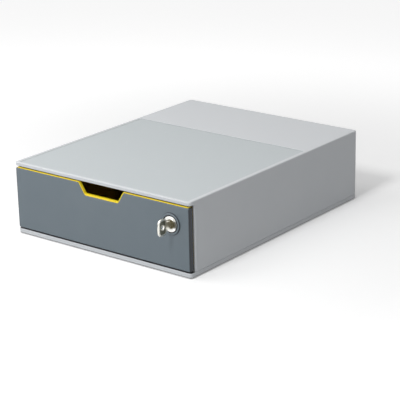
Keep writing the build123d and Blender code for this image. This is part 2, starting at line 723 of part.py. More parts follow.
def lock_plug():
    """The turning plug: rim, keyway, and the square tail that carries the cam."""
    down = (Align.CENTER, Align.CENTER, Align.MAX)
    rim = Pos(0, 0, PLUG_FACE) * Cylinder(PLUG_RIM_R, PLUG_RIM_T, align=down)
    rim = chamfer(rim.edges().sort_by(Axis.Z)[-1], PLUG_EDGE)
    body = Pos(0, 0, PLUG_FACE - PLUG_RIM_T) * Cylinder(
        PLUG_R, CAM_FRONT + PLUG_FACE - PLUG_RIM_T, align=down
    )
    tail = Pos(0, 0, -CAM_FRONT) * Box(TAIL_SIDE, TAIL_SIDE, CAM_T, align=down)
    slot_w = KEY_T + 2 * KEY_PLAY
    slot_h = BLADE_H + 2 * KEY_PLAY
    keyway = Pos(0, 0, PLUG_FACE) * Box(slot_w, slot_h, KEYWAY_DEPTH, align=down)
    end = Pos(0, 0, -CAM_FRONT - CAM_T)
    tapped = end * Cylinder(
        PILOT_R, CAM_SCREW_L + SCREW_PLAY, align=(Align.CENTER, Align.CENTER, Align.MIN)
    )
    return LOCK_PLACE * (rim + body + tail - keyway - tapped)


def lock_cam():
    """The cam: a flat arm that points to the left when the drawer is unlocked."""
    tip_r = CAM_W / 2
    arm_l = CAM_REACH - tip_r
    hole = TAIL_SIDE + 2 * TAIL_PLAY
    outline = Circle(CAM_HUB_R) + Pos(-arm_l / 2, 0) * Rectangle(arm_l, CAM_W)
    outline += Pos(-arm_l, 0) * Circle(tip_r)
    outline -= Rectangle(hole, hole)
    return LOCK_PLACE * extrude(Pos(0, 0, -CAM_FRONT - CAM_T) * outline, amount=CAM_T)


def cam_screw():
    """The screw in the plug's tail that keeps the cam on."""
    return LOCK_PLACE * Pos(0, 0, -CAM_FRONT - CAM_T) * pan_screw(CAM_SCREW_L, CAM_SCREW_HEAD_R)


def key():
    """The flat key, upright in the plug. Its sketch has u up and v out of the front."""
    tip = PLUG_FACE - KEYWAY_DEPTH + KEY_TIP_PLAY
    blade = Pos(0, (tip + NECK_START) / 2) * Rectangle(BLADE_H, NECK_START - tip)
    blade = chamfer(blade.vertices().group_by(Axis.Y)[0], BLADE_CUT_DEPTH)
    neck = Pos(0, (NECK_START + BOW_FROM_CAP) / 2) * Rectangle(NECK_H, BOW_FROM_CAP - NECK_START)
    bow = Pos(0, BOW_FROM_CAP) * RectangleRounded(BOW_H, BOW_L, BOW_R)
    nick_v = BOW_FROM_CAP + BOW_L / 2 + BOW_NICK_R - BOW_NICK_DEPTH
    bow -= Pos(BOW_NICK_UP, nick_v) * Circle(BOW_NICK_R)
    outline = blade + neck + bow - Pos(0, BOW_FROM_CAP) * Circle(BOW_HOLE_R)
    for index in range(BLADE_CUTS):
        v = tip + (index + 1) * BLADE_CUT_PITCH
        edge = -BLADE_H / 2
        outline -= Polygon(
            (edge, v - BLADE_CUT_DEPTH),
            (edge + BLADE_CUT_DEPTH, v),
            (edge, v + BLADE_CUT_DEPTH),
            align=None,
        )
    return LOCK_PLACE * extrude(Plane.YZ * outline, amount=KEY_T / 2, both=True)


# ------------------------------------------------------------------- export


def pieces():
    """Every node's name with its solid, or its list of separate equal solids."""
    right_runner = runner()
    nodes = {
        "hood": hood(),
        "base_plate": base_plate(),
        "left_runner": mirrored(right_runner),
        "right_runner": right_runner,
        "runner_screws": runner_screws(),
        "base_screws": base_screws(),
        "lock_strike": lock_strike(),
        "strike_screws": strike_screws(),
        "left_buffer": buffer(-BUFFER_X),
        "right_buffer": buffer(BUFFER_X),
        "drawer_tray": drawer_tray(),
        "drawer_fascia": drawer_fascia(),
        "fascia_screws": fascia_screws(),
        "lock_barrel": lock_barrel(),
        "lock_nut": lock_nut(),
        "lock_plug": lock_plug(),
        "lock_cam": lock_cam(),
        "cam_screw": cam_screw(),
        "key": key(),
    }
    for name, (x, depth) in foot_places().items():
        nodes[name] = foot(x, depth)
    return nodes


os.makedirs("parts", exist_ok=True)
for name, piece in pieces().items():
    shape = Compound(children=piece) if isinstance(piece, list) else piece
    export_step(shape, f"parts/{name}.step")
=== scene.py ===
# %% [markdown]
# # A desktop file drawer
# A moulded grey housing holds one yellow tray with a dark, lockable front cap. The solids
# come ready made from the CAD frame, so this lesson is about what the frame can't hold:
# the moulded grain, the plated metal, the threads and recesses of the small metal parts,
# and the light that shows them. Blender works in metres. The object's sizes are written
# in millimetres here, and the studio's in metres. The front faces -Y.

# %% Load the frame
import json
import math

import bmesh
import bpy
import numpy as np
from mathutils import Matrix, Vector


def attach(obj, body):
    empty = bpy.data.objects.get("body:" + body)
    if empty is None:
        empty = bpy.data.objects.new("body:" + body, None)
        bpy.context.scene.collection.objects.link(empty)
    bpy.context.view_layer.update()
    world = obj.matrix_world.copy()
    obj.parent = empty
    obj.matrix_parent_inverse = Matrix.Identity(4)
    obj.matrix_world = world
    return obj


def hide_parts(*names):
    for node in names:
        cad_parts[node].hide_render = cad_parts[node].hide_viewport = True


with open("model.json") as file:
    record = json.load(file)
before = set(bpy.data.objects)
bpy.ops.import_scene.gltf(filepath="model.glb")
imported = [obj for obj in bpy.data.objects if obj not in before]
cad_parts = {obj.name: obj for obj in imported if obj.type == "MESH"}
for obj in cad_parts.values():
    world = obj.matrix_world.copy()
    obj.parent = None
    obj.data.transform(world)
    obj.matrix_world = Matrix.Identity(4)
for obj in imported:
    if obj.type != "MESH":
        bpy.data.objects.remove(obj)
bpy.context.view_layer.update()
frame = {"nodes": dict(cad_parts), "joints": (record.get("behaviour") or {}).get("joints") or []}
NODES = frame["nodes"]
MM = 0.001

# %% [markdown]
# Many finishes need to know where an edge, a seam or the lock is. Those places could be
# typed in again, but they are read from the frame: a box from a node's vertices, and the
# lock's axis from the joint that turns its plug. So the marks stay where the solids are.

# %% Places from the frame


def node_box(node):
    """The lowest and the highest corner of a CAD node, in millimetres."""
    points = np.array([vertex.co for vertex in NODES[node].data.vertices], dtype=float) / MM
    corners = points.min(axis=0), points.max(axis=0)
    return [[round(float(v), 2) for v in corner] for corner in corners]


(_, FRONT_Y, SEAM_Z), (OUT_X, BACK_Y, TOP_Z) = node_box("hood")
MIDDLE_Y, HALF_Y = (FRONT_Y + BACK_Y) / 2, (BACK_Y - FRONT_Y) / 2
lock_joint = next(joint for joint in frame["joints"] if joint["name"] == "lock_turn")
LOCK_X, LOCK_Y, LOCK_Z = (round(v / MM, 2) for v in lock_joint["pos_m"])
print("housing from", FRONT_Y, "to", BACK_Y, "lock's axis at", LOCK_X, LOCK_Z)

# %% [markdown]
# ## The camera
# A box seen from a corner shows three families of parallel edges. Where each family
# meets gives the view, so the camera could be fitted by eye, but here its azimuth,
# elevation, roll and distance were worked out from the picture's edges and are written
# as plain numbers. The camera's axes are then built from them, which avoids Euler angles.

# %% Camera
AZIMUTH, ELEVATION, ROLL = (math.radians(a) for a in (38.42, 18.98, -1.26))
TARGET = Vector((14.11, 11.75, 23.35)) * MM
DISTANCE = 1962.56 * MM
SENSOR, LENS = 36, 136.26
FAR_CLIP = 50


def towards(azimuth, elevation):
    """The direction from the object to a camera or a lamp. Azimuth 0 is in front."""
    level = math.cos(elevation)
    return Vector((math.sin(azimuth) * level, -math.cos(azimuth) * level, math.sin(elevation)))


def placed(name, data):
    """A new object in the scene that holds a camera, a lamp or a mesh."""
    made = bpy.data.objects.new(name, data)
    bpy.context.scene.collection.objects.link(made)
    return made


camera_back = towards(AZIMUTH, ELEVATION)
level_right = Vector((math.cos(AZIMUTH), math.sin(AZIMUTH), 0))
level_up = camera_back.cross(level_right)
camera_right = math.cos(ROLL) * level_right + math.sin(ROLL) * level_up
camera_up = math.cos(ROLL) * level_up - math.sin(ROLL) * level_right

camera = placed("camera", bpy.data.cameras.new("camera"))
axes = Matrix((camera_right, camera_up, camera_back)).transposed().to_4x4()
camera.matrix_world = Matrix.Translation(TARGET + camera_back * DISTANCE) @ axes
camera.data.sensor_width = SENSOR
camera.data.lens = LENS
camera.data.clip_end = FAR_CLIP
bpy.context.scene.camera = camera
bpy.context.scene.view_settings.view_transform = "Standard"
print("camera at", [round(v, 3) for v in camera.location], "lens", LENS)

# %% [markdown]
# ## Writing node trees as sentences
# A node tree can be clicked together or scripted link by link, but its maths is then hard
# to read. A small class that wraps a socket and overloads + - * / turns an expression on
# sockets into the nodes that work it out: Math nodes for numbers, Vector Math for vectors.
# Every other node comes from one method that sets the node's choices before its sockets.


# %% Sockets with arithmetic
class Wire:
    """One output socket of a tree. Arithmetic on it adds the nodes that work it out."""

    def __init__(self, graph, socket):
        self.graph = graph
        self.socket = socket

    def __add__(self, other):
        return self.graph.maths("ADD", self, other)

    __radd__ = __add__

    def __sub__(self, other):
        return self.graph.maths("SUBTRACT", self, other)

    def __rsub__(self, other):
        return self.graph.maths("SUBTRACT", other, self)

    def __mul__(self, other):
        return self.graph.maths("MULTIPLY", self, other)

    __rmul__ = __mul__

    def __truediv__(self, other):
        return self.graph.maths("DIVIDE", self, other)

    def __abs__(self):
        return self.graph.maths("ABSOLUTE", self)

    def __gt__(self, other):
        return self.graph.maths("GREATER_THAN", self, other)

    def __lt__(self, other):
        return self.graph.maths("LESS_THAN", self, other)


class Graph:
    """A node tree, of a material or of geometry, that is written as calls."""

    def __init__(self, tree):
        self.tree = tree

    def node(self, kind, settings=None, sockets=None, out=0):
        """Adds any node: its settings first, then its sockets. Returns one output."""
        made = self.tree.nodes.new(kind)
        for name, value in (settings or {}).items():
            setattr(made, name, value)
        for key, value in (sockets or {}).items():
            self.feed(made.inputs[key], value)
        return Wire(self, made.outputs[out]) if len(made.outputs) else None

    def feed(self, socket, value):
        """Links a Wire to a socket, or gives the socket a plain value."""
        if isinstance(value, Wire):
            self.tree.links.new(value.socket, socket)
        elif socket.type == "RGBA":
            socket.default_value = (*value, 1)
        else:
            socket.default_value = value

    def maths(self, operation, *terms):
        """A Math node, or a Vector Math node where a term is a vector."""
        wires = [t for t in terms if isinstance(t, Wire)]
        if any(w.socket.type == "VECTOR" for w in wires):
            terms = [t if isinstance(t, (Wire, tuple)) else (t, t, t) for t in terms]
            kind = "ShaderNodeVectorMath"
        else:
            kind = "ShaderNodeMath"
        return self.node(kind, {"operation": operation}, dict(enumerate(terms)))

    def xyz(self, vector):
        """The three numbers of a vector."""
        split = self.node("ShaderNodeSeparateXYZ", None, {0: vector}).socket.node
        return [Wire(self, output) for output in split.outputs]

    def join(self, x, y, z):
        """A vector from three numbers."""
        return self.node("ShaderNodeCombineXYZ", None, {0: x, 1: y, 2: z})

    def smooth(self, value, low, high):
        """0 below low, 1 above high, and a smooth rise between them."""
        settings = {"interpolation_type": "SMOOTHSTEP"}
        return self.node("ShaderNodeMapRange", settings, {0: value, 1: low, 2: high})

    def noise(self, vector, scale, detail=2.0, roughness=0.5):
        """Cloudy values from 0 to 1. The scale is in clouds for each millimetre."""
        sockets = {"Vector": vector, "Scale": scale, "Detail": detail, "Roughness": roughness}
        return self.node("ShaderNodeTexNoise", None, sockets)

    def mix(self, factor, first, second):
        """A colour between two others."""
        sockets = {0: factor, 6: first, 7: second}
        return self.node("ShaderNodeMix", {"data_type": "RGBA"}, sockets, out=2)


def fresh_graph(owner):
    """The graph of a world or a material, with the nodes that it came with cleared away."""
    owner.use_nodes = True
    owner.node_tree.nodes.clear()
    return Graph(owner.node_tree)


print("Wire, Graph and fresh_graph are ready")

# %% [markdown]
# ## The studio
# The picture has a white ground and soft light, most of it from in front and from above,
# so the top and the front are bright and the right side stands in shade. A dome picture
# could light this, but plain lamps are easier to reason about. Together with the world
# they are set so that a surface facing them shows about the colour that its material is
# written with. Only what the camera, or a mirror-like surface, sees directly is made white.

# %% Colours as they are seen


def seen(red, green, blue):
    """A colour given as 0 to 255 on the screen, as the linear numbers that nodes use."""
    steps = [v / 255 for v in (red, green, blue)]
    return tuple(s / 12.92 if s <= 0.04045 else ((s + 0.055) / 1.055) ** 2.4 for s in steps)


print("middle grey:", [round(v, 3) for v in seen(128, 128, 128)])

# %% World
WORLD_LEVEL = 0.26
WHITE = (1.0, 1.0, 1.0)


def sight(graph):
    """1 for a ray that shows the surface itself, 0 for one that carries its light."""
    path = graph.node("ShaderNodeLightPath").socket.node
    kinds = ("Is Camera Ray", "Is Glossy Ray", "Is Transmission Ray")
    straight, mirrored, through = (Wire(graph, path.outputs[kind]) for kind in kinds)
    return graph.maths("MAXIMUM", straight, graph.maths("MAXIMUM", mirrored, through))


world = bpy.data.worlds.new("studio")
graph = fresh_graph(world)
strength = WORLD_LEVEL + sight(graph) * (1 - WORLD_LEVEL)
sky = graph.node("ShaderNodeBackground", None, {"Color": WHITE, "Strength": strength})
graph.node("ShaderNodeOutputWorld", None, {"Surface": sky})
bpy.context.scene.world = world
print("world level", WORLD_LEVEL)

# %% [markdown]
# The floor is pale paper. Its own colour keeps the light that it throws back at the
# object moderate. What the camera sees of it is lifted to white by a little emission that
# only camera, mirror and glass rays meet, so the soft shadow stays and nothing is lit by
# it. Seen from below the floor isn't there, and under the object it lets the world's light
# through, so that the ribs and feet on the underside can be looked at too.

# %% Floor
FLOOR_HALF, FLOOR_Z = 6.0, -0.02 * MM
SQUARE = ((-1, -1), (1, -1), (1, 1), (-1, 1))
LIFT_NEAR, LIFT_FAR, LIFT_HORIZON = 0.17, 0.5, 0.76
NEAR_ENDS, FAR_STARTS, HORIZON_STARTS = 0.3, 0.9, 3.0
UNDER_HALF_X, UNDER_HALF_Y, UNDER_MIDDLE_Y = 0.13, 0.17, 0.012
PAPER_LIT, PAPER_SHOWN = seen(222, 222, 222), seen(247, 247, 247)

floor_mesh = bpy.data.meshes.new("floor")
corners = [(x * FLOOR_HALF, y * FLOOR_HALF, FLOOR_Z) for x, y in SQUARE]
floor_mesh.from_pydata(corners, [], [(0, 1, 2, 3)])
floor = placed("floor", floor_mesh)
floor_finish = bpy.data.materials.new("floor_paper")
graph = fresh_graph(floor_finish)
seen_directly = sight(graph)
far = graph.maths("LENGTH", graph.node("ShaderNodeTexCoord", out="Object"))
far = Wire(graph, far.socket.node.outputs["Value"])
raised = LIFT_NEAR + graph.smooth(far, NEAR_ENDS, FAR_STARTS) * (LIFT_FAR - LIFT_NEAR)
raised = raised + graph.smooth(far, FAR_STARTS, HORIZON_STARTS) * (LIFT_HORIZON - LIFT_FAR)
tone = graph.mix(seen_directly, PAPER_LIT, PAPER_SHOWN)
paper = graph.node("ShaderNodeBsdfDiffuse", None, {"Color": tone})
lift = graph.node("ShaderNodeEmission", None, {"Strength": seen_directly * raised})
lifted = graph.node("ShaderNodeAddShader", None, {0: paper, 1: lift})
clear = graph.node("ShaderNodeBsdfTransparent")
from_below = graph.node("ShaderNodeNewGeometry", out="Backfacing")
x, y, _ = graph.xyz(graph.node("ShaderNodeTexCoord", out="Object"))
beneath = (abs(x) < UNDER_HALF_X) * (abs(y - UNDER_MIDDLE_Y) < UNDER_HALF_Y)
open_floor = graph.maths("MAXIMUM", from_below, beneath * (1 - seen_directly))
shell = graph.node("ShaderNodeMixShader", None, {0: open_floor, 1: lifted, 2: clear})
graph.node("ShaderNodeOutputMaterial", None, {"Surface": shell})
floor_mesh.materials.append(floor_finish)
print("floor", 2 * FLOOR_HALF, "m wide")

# %% [markdown]
# The main lamp stands in front, two wide ones on the left and above soften its shadow,
# and a faint one lifts the shaded right side. One sun would be simpler, but its shadow has
# a hard edge. The energy isn't guessed: a surface that faces a lamp shows about its energy
# over the square of pi times the distance, so the level wanted there gives the energy.

# %% Lamps


def softbox(name, azimuth, elevation, distance, width, level):
    """A square lamp that gives the colour level on a surface that faces it."""
    away = towards(math.radians(azimuth), math.radians(elevation))
    light = bpy.data.lights.new(name, "AREA")
    light.size = width
    light.energy = level * (math.pi * distance) ** 2
    lamp = placed(name, light)
    lamp.location = away * distance
    lamp.rotation_mode = "QUATERNION"
    lamp.rotation_quaternion = away.to_track_quat("Z", "Y")
    print(name, "at", [round(v, 2) for v in lamp.location], "energy", round(light.energy, 1))


softbox("key_light", azimuth=5, elevation=45, distance=2.0, width=0.4, level=0.42)
softbox("left_light", azimuth=-45, elevation=46, distance=0.95, width=0.8, level=0.29)
softbox("top_light", azimuth=-30, elevation=82, distance=1.6, width=1.2, level=0.21)
softbox("right_light", azimuth=88, elevation=24, distance=1.4, width=0.8, level=0.02)

# %% [markdown]
# ## Finishes
# Each finish starts from the plain shader and gets what the real surface has: the fine
# grain that spark erosion leaves in a plastic mould, rings that a lathe leaves on metal,
# scuffs where paper slides. Picture textures could show this, but they need unwrapping
# and lose their sharpness, so all of it is worked out from the place on the object, in
# millimetres. Only colour, roughness and the bump change over a surface.

# %% One finish


def finish(name, look, **fixed):
    """Rebuilds one of the frame's materials, which its nodes already wear.

    look(graph, place) gets the place in millimetres and returns the sockets that vary.
    """
    material = bpy.data.materials[name]
    graph = fresh_graph(material)
    place = graph.node("ShaderNodeTexCoord", out="Object") / MM
    sockets = look(graph, place)
    for key, value in fixed.items():
        sockets[key.replace("_", " ")] = value
    shader = graph.node("ShaderNodeBsdfPrincipled", None, sockets)
    graph.node("ShaderNodeOutputMaterial", None, {"Surface": shader})
    print(name, "has", len(material.node_tree.nodes), "nodes")


def bump(graph, height, depth):
    """Raises the surface by height, from 0 to 1, times a depth in millimetres."""
    return graph.node("ShaderNodeBump", None, {"Height": height, "Distance": depth * MM})


def grain(graph, place, size):
    """The grain of a spark-eroded mould: rounded pits of about this size."""
    pits = graph.noise(place, 1 / size, detail=3.0, roughness=0.65)
    return graph.smooth(pits, 0.35, 0.65)


def stretched(graph, place, x, y, z):
    """The place with each direction scaled, so that a noise on it is drawn out."""
    return graph.maths("MULTIPLY", place, (x, y, z))


print("finish, bump, grain and stretched are ready")

# %% [markdown]
# ### The housing's grey
# The hood's recess is eroded a little coarser than its rim and its rear plateau, so it
# looks darker. The mask for it comes from the height: its floor lies 0.6 mm below the rim.
# Where edges meet, hands have polished the grain, and that mask is the product of being
# near two faces of the box at once.

# %% Housing
RECESS_X, RECESS_FRONT, RECESS_BACK = OUT_X - 5.5, FRONT_Y + 3.0, BACK_Y - 116.0
RECESS_Z = TOP_Z - 0.6
HOUSING_GRAIN = 0.45
HOUSING_DARK = seen(196, 200, 204)
HOUSING_LIGHT = seen(203, 206, 209)
RECESS_COLOUR = seen(190, 196, 198)
RIM_COLOUR = seen(212, 214, 216)
STEP_SHADE = seen(140, 143, 146)


def near_edges(graph, x, y, z, reach):
    """1 on the hood's and the base's outer edges, falling to 0 this far inside."""
    side = graph.smooth(abs(x), OUT_X - reach, OUT_X)
    end = graph.smooth(abs(y - MIDDLE_Y), HALF_Y - reach, HALF_Y)
    top = graph.smooth(abs(z - TOP_Z / 2), TOP_Z / 2 - reach, TOP_Z / 2)
    return side * end + end * top + top * side


def housing_look(graph, place):
    x, y, z = graph.xyz(place)
    inside = (abs(x) < RECESS_X + 0.1) * (y > RECESS_FRONT - 0.1) * (y < RECESS_BACK + 0.1)
    recess = inside * (abs(z - RECESS_Z) < 0.25)
    top = graph.smooth(z, TOP_Z - 1.2, TOP_Z - 0.2) * (1 - recess)
    foot_line = recess * graph.smooth(y, RECESS_BACK - 1.6, RECESS_BACK - 0.4)
    mottle = graph.noise(place, 0.02, detail=3.0)
    pits = grain(graph, place, HOUSING_GRAIN)
    edge = near_edges(graph, x, y, z, 3.0) * graph.noise(place, 0.15)
    drawn_out = stretched(graph, place, 0.5, 0.06, 0.5)
    scuffs = recess * graph.smooth(graph.noise(drawn_out, 1.0, detail=4.0), 0.62, 0.72)

    colour = graph.mix(mottle, HOUSING_DARK, HOUSING_LIGHT)
    colour = graph.mix(recess, colour, RECESS_COLOUR)
    colour = graph.mix(top * 0.5, colour, RIM_COLOUR)
    colour = graph.mix(foot_line * 0.5, colour, STEP_SHADE)
    colour = graph.mix(edge * 0.35 + scuffs * 0.1, colour, RIM_COLOUR)
    roughness = 0.5 + mottle * 0.08 + recess * 0.08 - edge * 0.2 - pits * 0.05 - scuffs * 0.08
    return {
        "Base Color": colour,
        "Roughness": roughness,
        "Normal": bump(graph, pits + mottle * 2.0, 0.02),
    }


finish("housing_grey", housing_look)

# %% [markdown]
# The base is the same plastic. Underneath, the mould's ejector pins have left a round
# mark in the middle of each field between the ribs. Rings that repeat on a grid need no
# objects: the remainder of x and y after the grid's pitch is a place within one field,
# and the ring is where the distance to its middle is the pin's radius. Outside, a dark line
# is painted along the bottom edge and along the seam at the top, most at the front under
# the cap: painted shade where the base meets the floor and where the seam lies in shadow.

# %% Base
FIELDS_ACROSS, FIELDS_ALONG = 4, 6
FIELD_X, FIELD_Y = 2 * OUT_X / FIELDS_ACROSS, 2 * HALF_Y / FIELDS_ALONG
PIN_R = 4.0
UNDERSIDE_Z = 4.5
FOOT_FULL, FOOT_ENDS = 1.2, 2.1
OUTER_SKIN, FRONT_SKIN = 3.5, 8.0
BASE_PAINTED_SHADE = seen(30, 31, 34)


def base_look(graph, place):
    x, y, z = graph.xyz(place)
    mottle = graph.noise(place, 0.02, detail=3.0)
    pits = grain(graph, place, HOUSING_GRAIN)
    edge = near_edges(graph, x, y, z, 2.0) * graph.noise(place, 0.15)
    field_x = graph.maths("FLOORED_MODULO", x, FIELD_X) - FIELD_X / 2
    field_y = graph.maths("FLOORED_MODULO", y - FRONT_Y, FIELD_Y) - FIELD_Y / 2
    reach = graph.maths("SQRT", field_x * field_x + field_y * field_y)
    under = abs(z - UNDERSIDE_Z) < 0.2
    pin = under * (1 - graph.smooth(reach, PIN_R - 0.2, PIN_R))
    witness = under * (1 - graph.smooth(abs(reach - PIN_R), 0.1, 0.35))
    colour = graph.mix(mottle, HOUSING_DARK, HOUSING_LIGHT)
    colour = graph.mix(edge * 0.35 + witness * 0.3, colour, RIM_COLOUR)
    # painted shade: a dark line along the bottom edge, where the base meets the floor, and along
    # the seam at its top
    bottom_shade = 1 - graph.smooth(z, FOOT_FULL, FOOT_ENDS)
    in_front = y < FRONT_Y + FRONT_SKIN
    seam_shade = graph.smooth(z, SEAM_Z - 0.5, SEAM_Z - 0.05) * (0.35 + 0.6 * in_front)
    at_ends = in_front + (y > BACK_Y - OUTER_SKIN)
    outer = graph.maths("MAXIMUM", abs(x) > OUT_X - OUTER_SKIN, at_ends)
    colour = graph.mix(graph.maths("MAXIMUM", bottom_shade * 0.85, seam_shade) * outer, colour, BASE_PAINTED_SHADE)
    height = pits * 0.5 + mottle - pin * 2.0 + witness * 3.0
    return {
        "Base Color": colour,
        "Roughness": 0.5 + mottle * 0.08 - edge * 0.2 - pin * 0.15,
        "Normal": bump(graph, height, 0.04),
    }


finish("base_grey", base_look)

# %% [markdown]
# ### The front cap
# The cap is a darker, finer grained moulding. Fingers reach for the notch and the key, so
# the grain is a little polished round both: the distance to each place, blurred by
# noise, lowers the roughness there. The narrow gap round the lock's head, the foot of the
# collar, the two ends and the bottom edge are painted dark: painted shade in the narrow
# gaps round the cap and on its rounded ends.

# %% Front cap
NOTCH_PLACE, LOCK_PLACE = (3.0, 80.0), (LOCK_X, LOCK_Z)
(_, _, CAP_LOW), (CAP_X, _, _) = node_box("drawer_fascia")
CAP_DARK = seen(98, 110, 118)
CAP_LIGHT = seen(107, 118, 125)
CAP_PIT = seen(84, 92, 99)
CAP_PAINTED_SHADE = seen(18, 20, 27)


def distance_to(graph, x, z, place):
    """How far two of the place's numbers are from a point, in millimetres."""
    dx, dz = x - place[0], z - place[1]
    return graph.maths("SQRT", dx * dx + dz * dz)


def band(graph, value, starts, full, fades, ends):
    """1 from full to fades, 0 before it starts and after it ends."""
    return graph.smooth(value, starts, full) * (1 - graph.smooth(value, fades, ends))


def cap_look(graph, place):
    x, _, z = graph.xyz(place)
    mottle = graph.noise(place, 0.025, detail=4.0)
    pits = grain(graph, place, 0.3)
    touch = graph.noise(place, 0.12, detail=3.0) * 30.0
    near_notch = 1 - graph.smooth(distance_to(graph, x, z, NOTCH_PLACE) + touch, 35.0, 75.0)
    near_lock = 1 - graph.smooth(distance_to(graph, x, z, LOCK_PLACE) + touch, 15.0, 45.0)
    colour = graph.mix(mottle, CAP_DARK, CAP_LIGHT)
    colour = graph.mix(pits * 0.12, colour, CAP_PIT)
    # painted shade: the gap round the lock's head, the foot of the collar, the two ends and the
    # bottom edge
    reach = distance_to(graph, x, z, LOCK_PLACE)
    collar_gap = band(graph, reach, 9.8, 10.0, 10.8, 11.1)
    collar_foot = band(graph, reach, 13.1, 13.4, 13.5, 14.3)
    ends = graph.smooth(abs(x), CAP_X - 2.2, CAP_X - 0.8) * 0.9
    seam_shade = (1 - graph.smooth(z, CAP_LOW + 0.1, CAP_LOW + 1.1)) * 0.85
    painted_shade = collar_gap
    for shaded_place in (collar_foot * 0.7, ends, seam_shade):
        painted_shade = graph.maths("MAXIMUM", painted_shade, shaded_place)
    colour = graph.mix(painted_shade, colour, CAP_PAINTED_SHADE)
    polish = near_notch + near_lock
    return {
        "Base Color": colour,
        "Roughness": 0.46 + mottle * 0.08 - polish * 0.1,
        "Normal": bump(graph, pits + mottle, 0.015),
    }


finish("front_grey", cap_look)

# %% [markdown]
# ### The tray
# The tray is polished and deeper in colour where it is thick. Paper that slides in and
# out leaves fine scuffs that run from front to back on its floor: noise drawn out along
# y, shown mostly where the surface is low. The top of its front edge, in the narrow gap
# under the hood's lip, is painted dark brown: painted shade that makes the gap read as a
# dark line.

# %% Tray
_, (_, _, TRAY_TOP) = node_box("drawer_tray")
FLOOR_ENDS, WALL_STARTS = 13.0, 16.0
EDGE_FROM, EDGE_TO = FRONT_Y + 4.0, FRONT_Y + 6.0
TRAY_DEEP = seen(255, 218, 30)
TRAY_LIGHT = seen(255, 230, 46)
TRAY_SCUFF = seen(250, 226, 130)
TRAY_PAINTED_SHADE = seen(72, 42, 0)


def tray_look(graph, place):
    _, y, z = graph.xyz(place)
    mottle = graph.noise(place, 0.015, detail=2.0)
    pits = grain(graph, place, 0.8)
    drawn_out = stretched(graph, place, 1.2, 0.03, 1.2)
    streaks = graph.noise(drawn_out, 1.0, detail=4.0, roughness=0.7)
    scuffs = graph.smooth(streaks, 0.56, 0.72)
    floor = 1 - graph.smooth(z, FLOOR_ENDS, WALL_STARTS)
    worn = scuffs * (0.15 + floor * 0.6)
    colour = graph.mix(mottle, TRAY_DEEP, TRAY_LIGHT)
    colour = graph.mix(worn * 0.3, colour, TRAY_SCUFF)
    front = 1 - graph.smooth(y, EDGE_FROM, EDGE_TO)
    edge_top = graph.smooth(z, TRAY_TOP - 0.6, TRAY_TOP - 0.1)
    # painted shade on the top of the front edge, under the hood's lip
    colour = graph.mix(front * edge_top * 0.5, colour, TRAY_PAINTED_SHADE)
    return {
        "Base Color": colour,
        "Roughness": 0.3 + mottle * 0.06 + worn * 0.25,
        "Normal": bump(graph, pits * 0.3 + worn, 0.012),
    }


finish("tray_yellow", tray_look)

# %% [markdown]
# ### The runners
# The tray slides in two profiles of a harder, paler plastic. Every opening rubs them from
# front to back, so a noise drawn out along y marks where: a little greyer and smoother.

# %% Runners
RUNNER_DARK = seen(214, 213, 205)
RUNNER_LIGHT = seen(226, 226, 219)
RUNNER_RUBBED = seen(188, 187, 180)


def runner_look(graph, place):
    mottle = graph.noise(place, 0.03, detail=3.0)
    drawn_out = stretched(graph, place, 0.9, 0.02, 0.9)
    rubbed = graph.smooth(graph.noise(drawn_out, 1.0, detail=3.0), 0.5, 0.7)
    colour = graph.mix(mottle, RUNNER_DARK, RUNNER_LIGHT)
    colour = graph.mix(rubbed * 0.3, colour, RUNNER_RUBBED)
    return {
        "Base Color": colour,
        "Roughness": 0.42 + mottle * 0.1 - rubbed * 0.12,
        "Normal": bump(graph, mottle + rubbed * 0.3, 0.03),
    }


finish("runner_plastic", runner_look)

# %% [markdown]
# ### Plated metal
# The lock's head and plug are turned on a lathe, so their polish has faint rings round
# the axis: a sine of the distance to it. Such rings throw light up and down from the top
# and bottom of the face and not from its sides, the bow tie that every turned face shows.
# Here it is painted: a mask on the angle darkens the sides as a painted reflection, and a
# painted highlight lightens the rim at the top and bottom. Pale spots on the plug are
# painted glints; on the chrome the spots are dark stains. The key is punched from sheet
# and polished along its length, so its scratches are noise drawn out along y. A mirror
# that is perfectly even looks like glass, so the roughness of each wanders a little.

# %% Turned metal
TURN = math.tau
CHROME = (seen(226, 226, 222), seen(246, 246, 243))
CHROME_SPOT = seen(170, 170, 164)
NICKEL = (seen(74, 69, 50), seen(122, 115, 92))
NICKEL_GLINT = seen(214, 202, 160)
PAINTED_REFLECTION_DARK = seen(60, 62, 60)


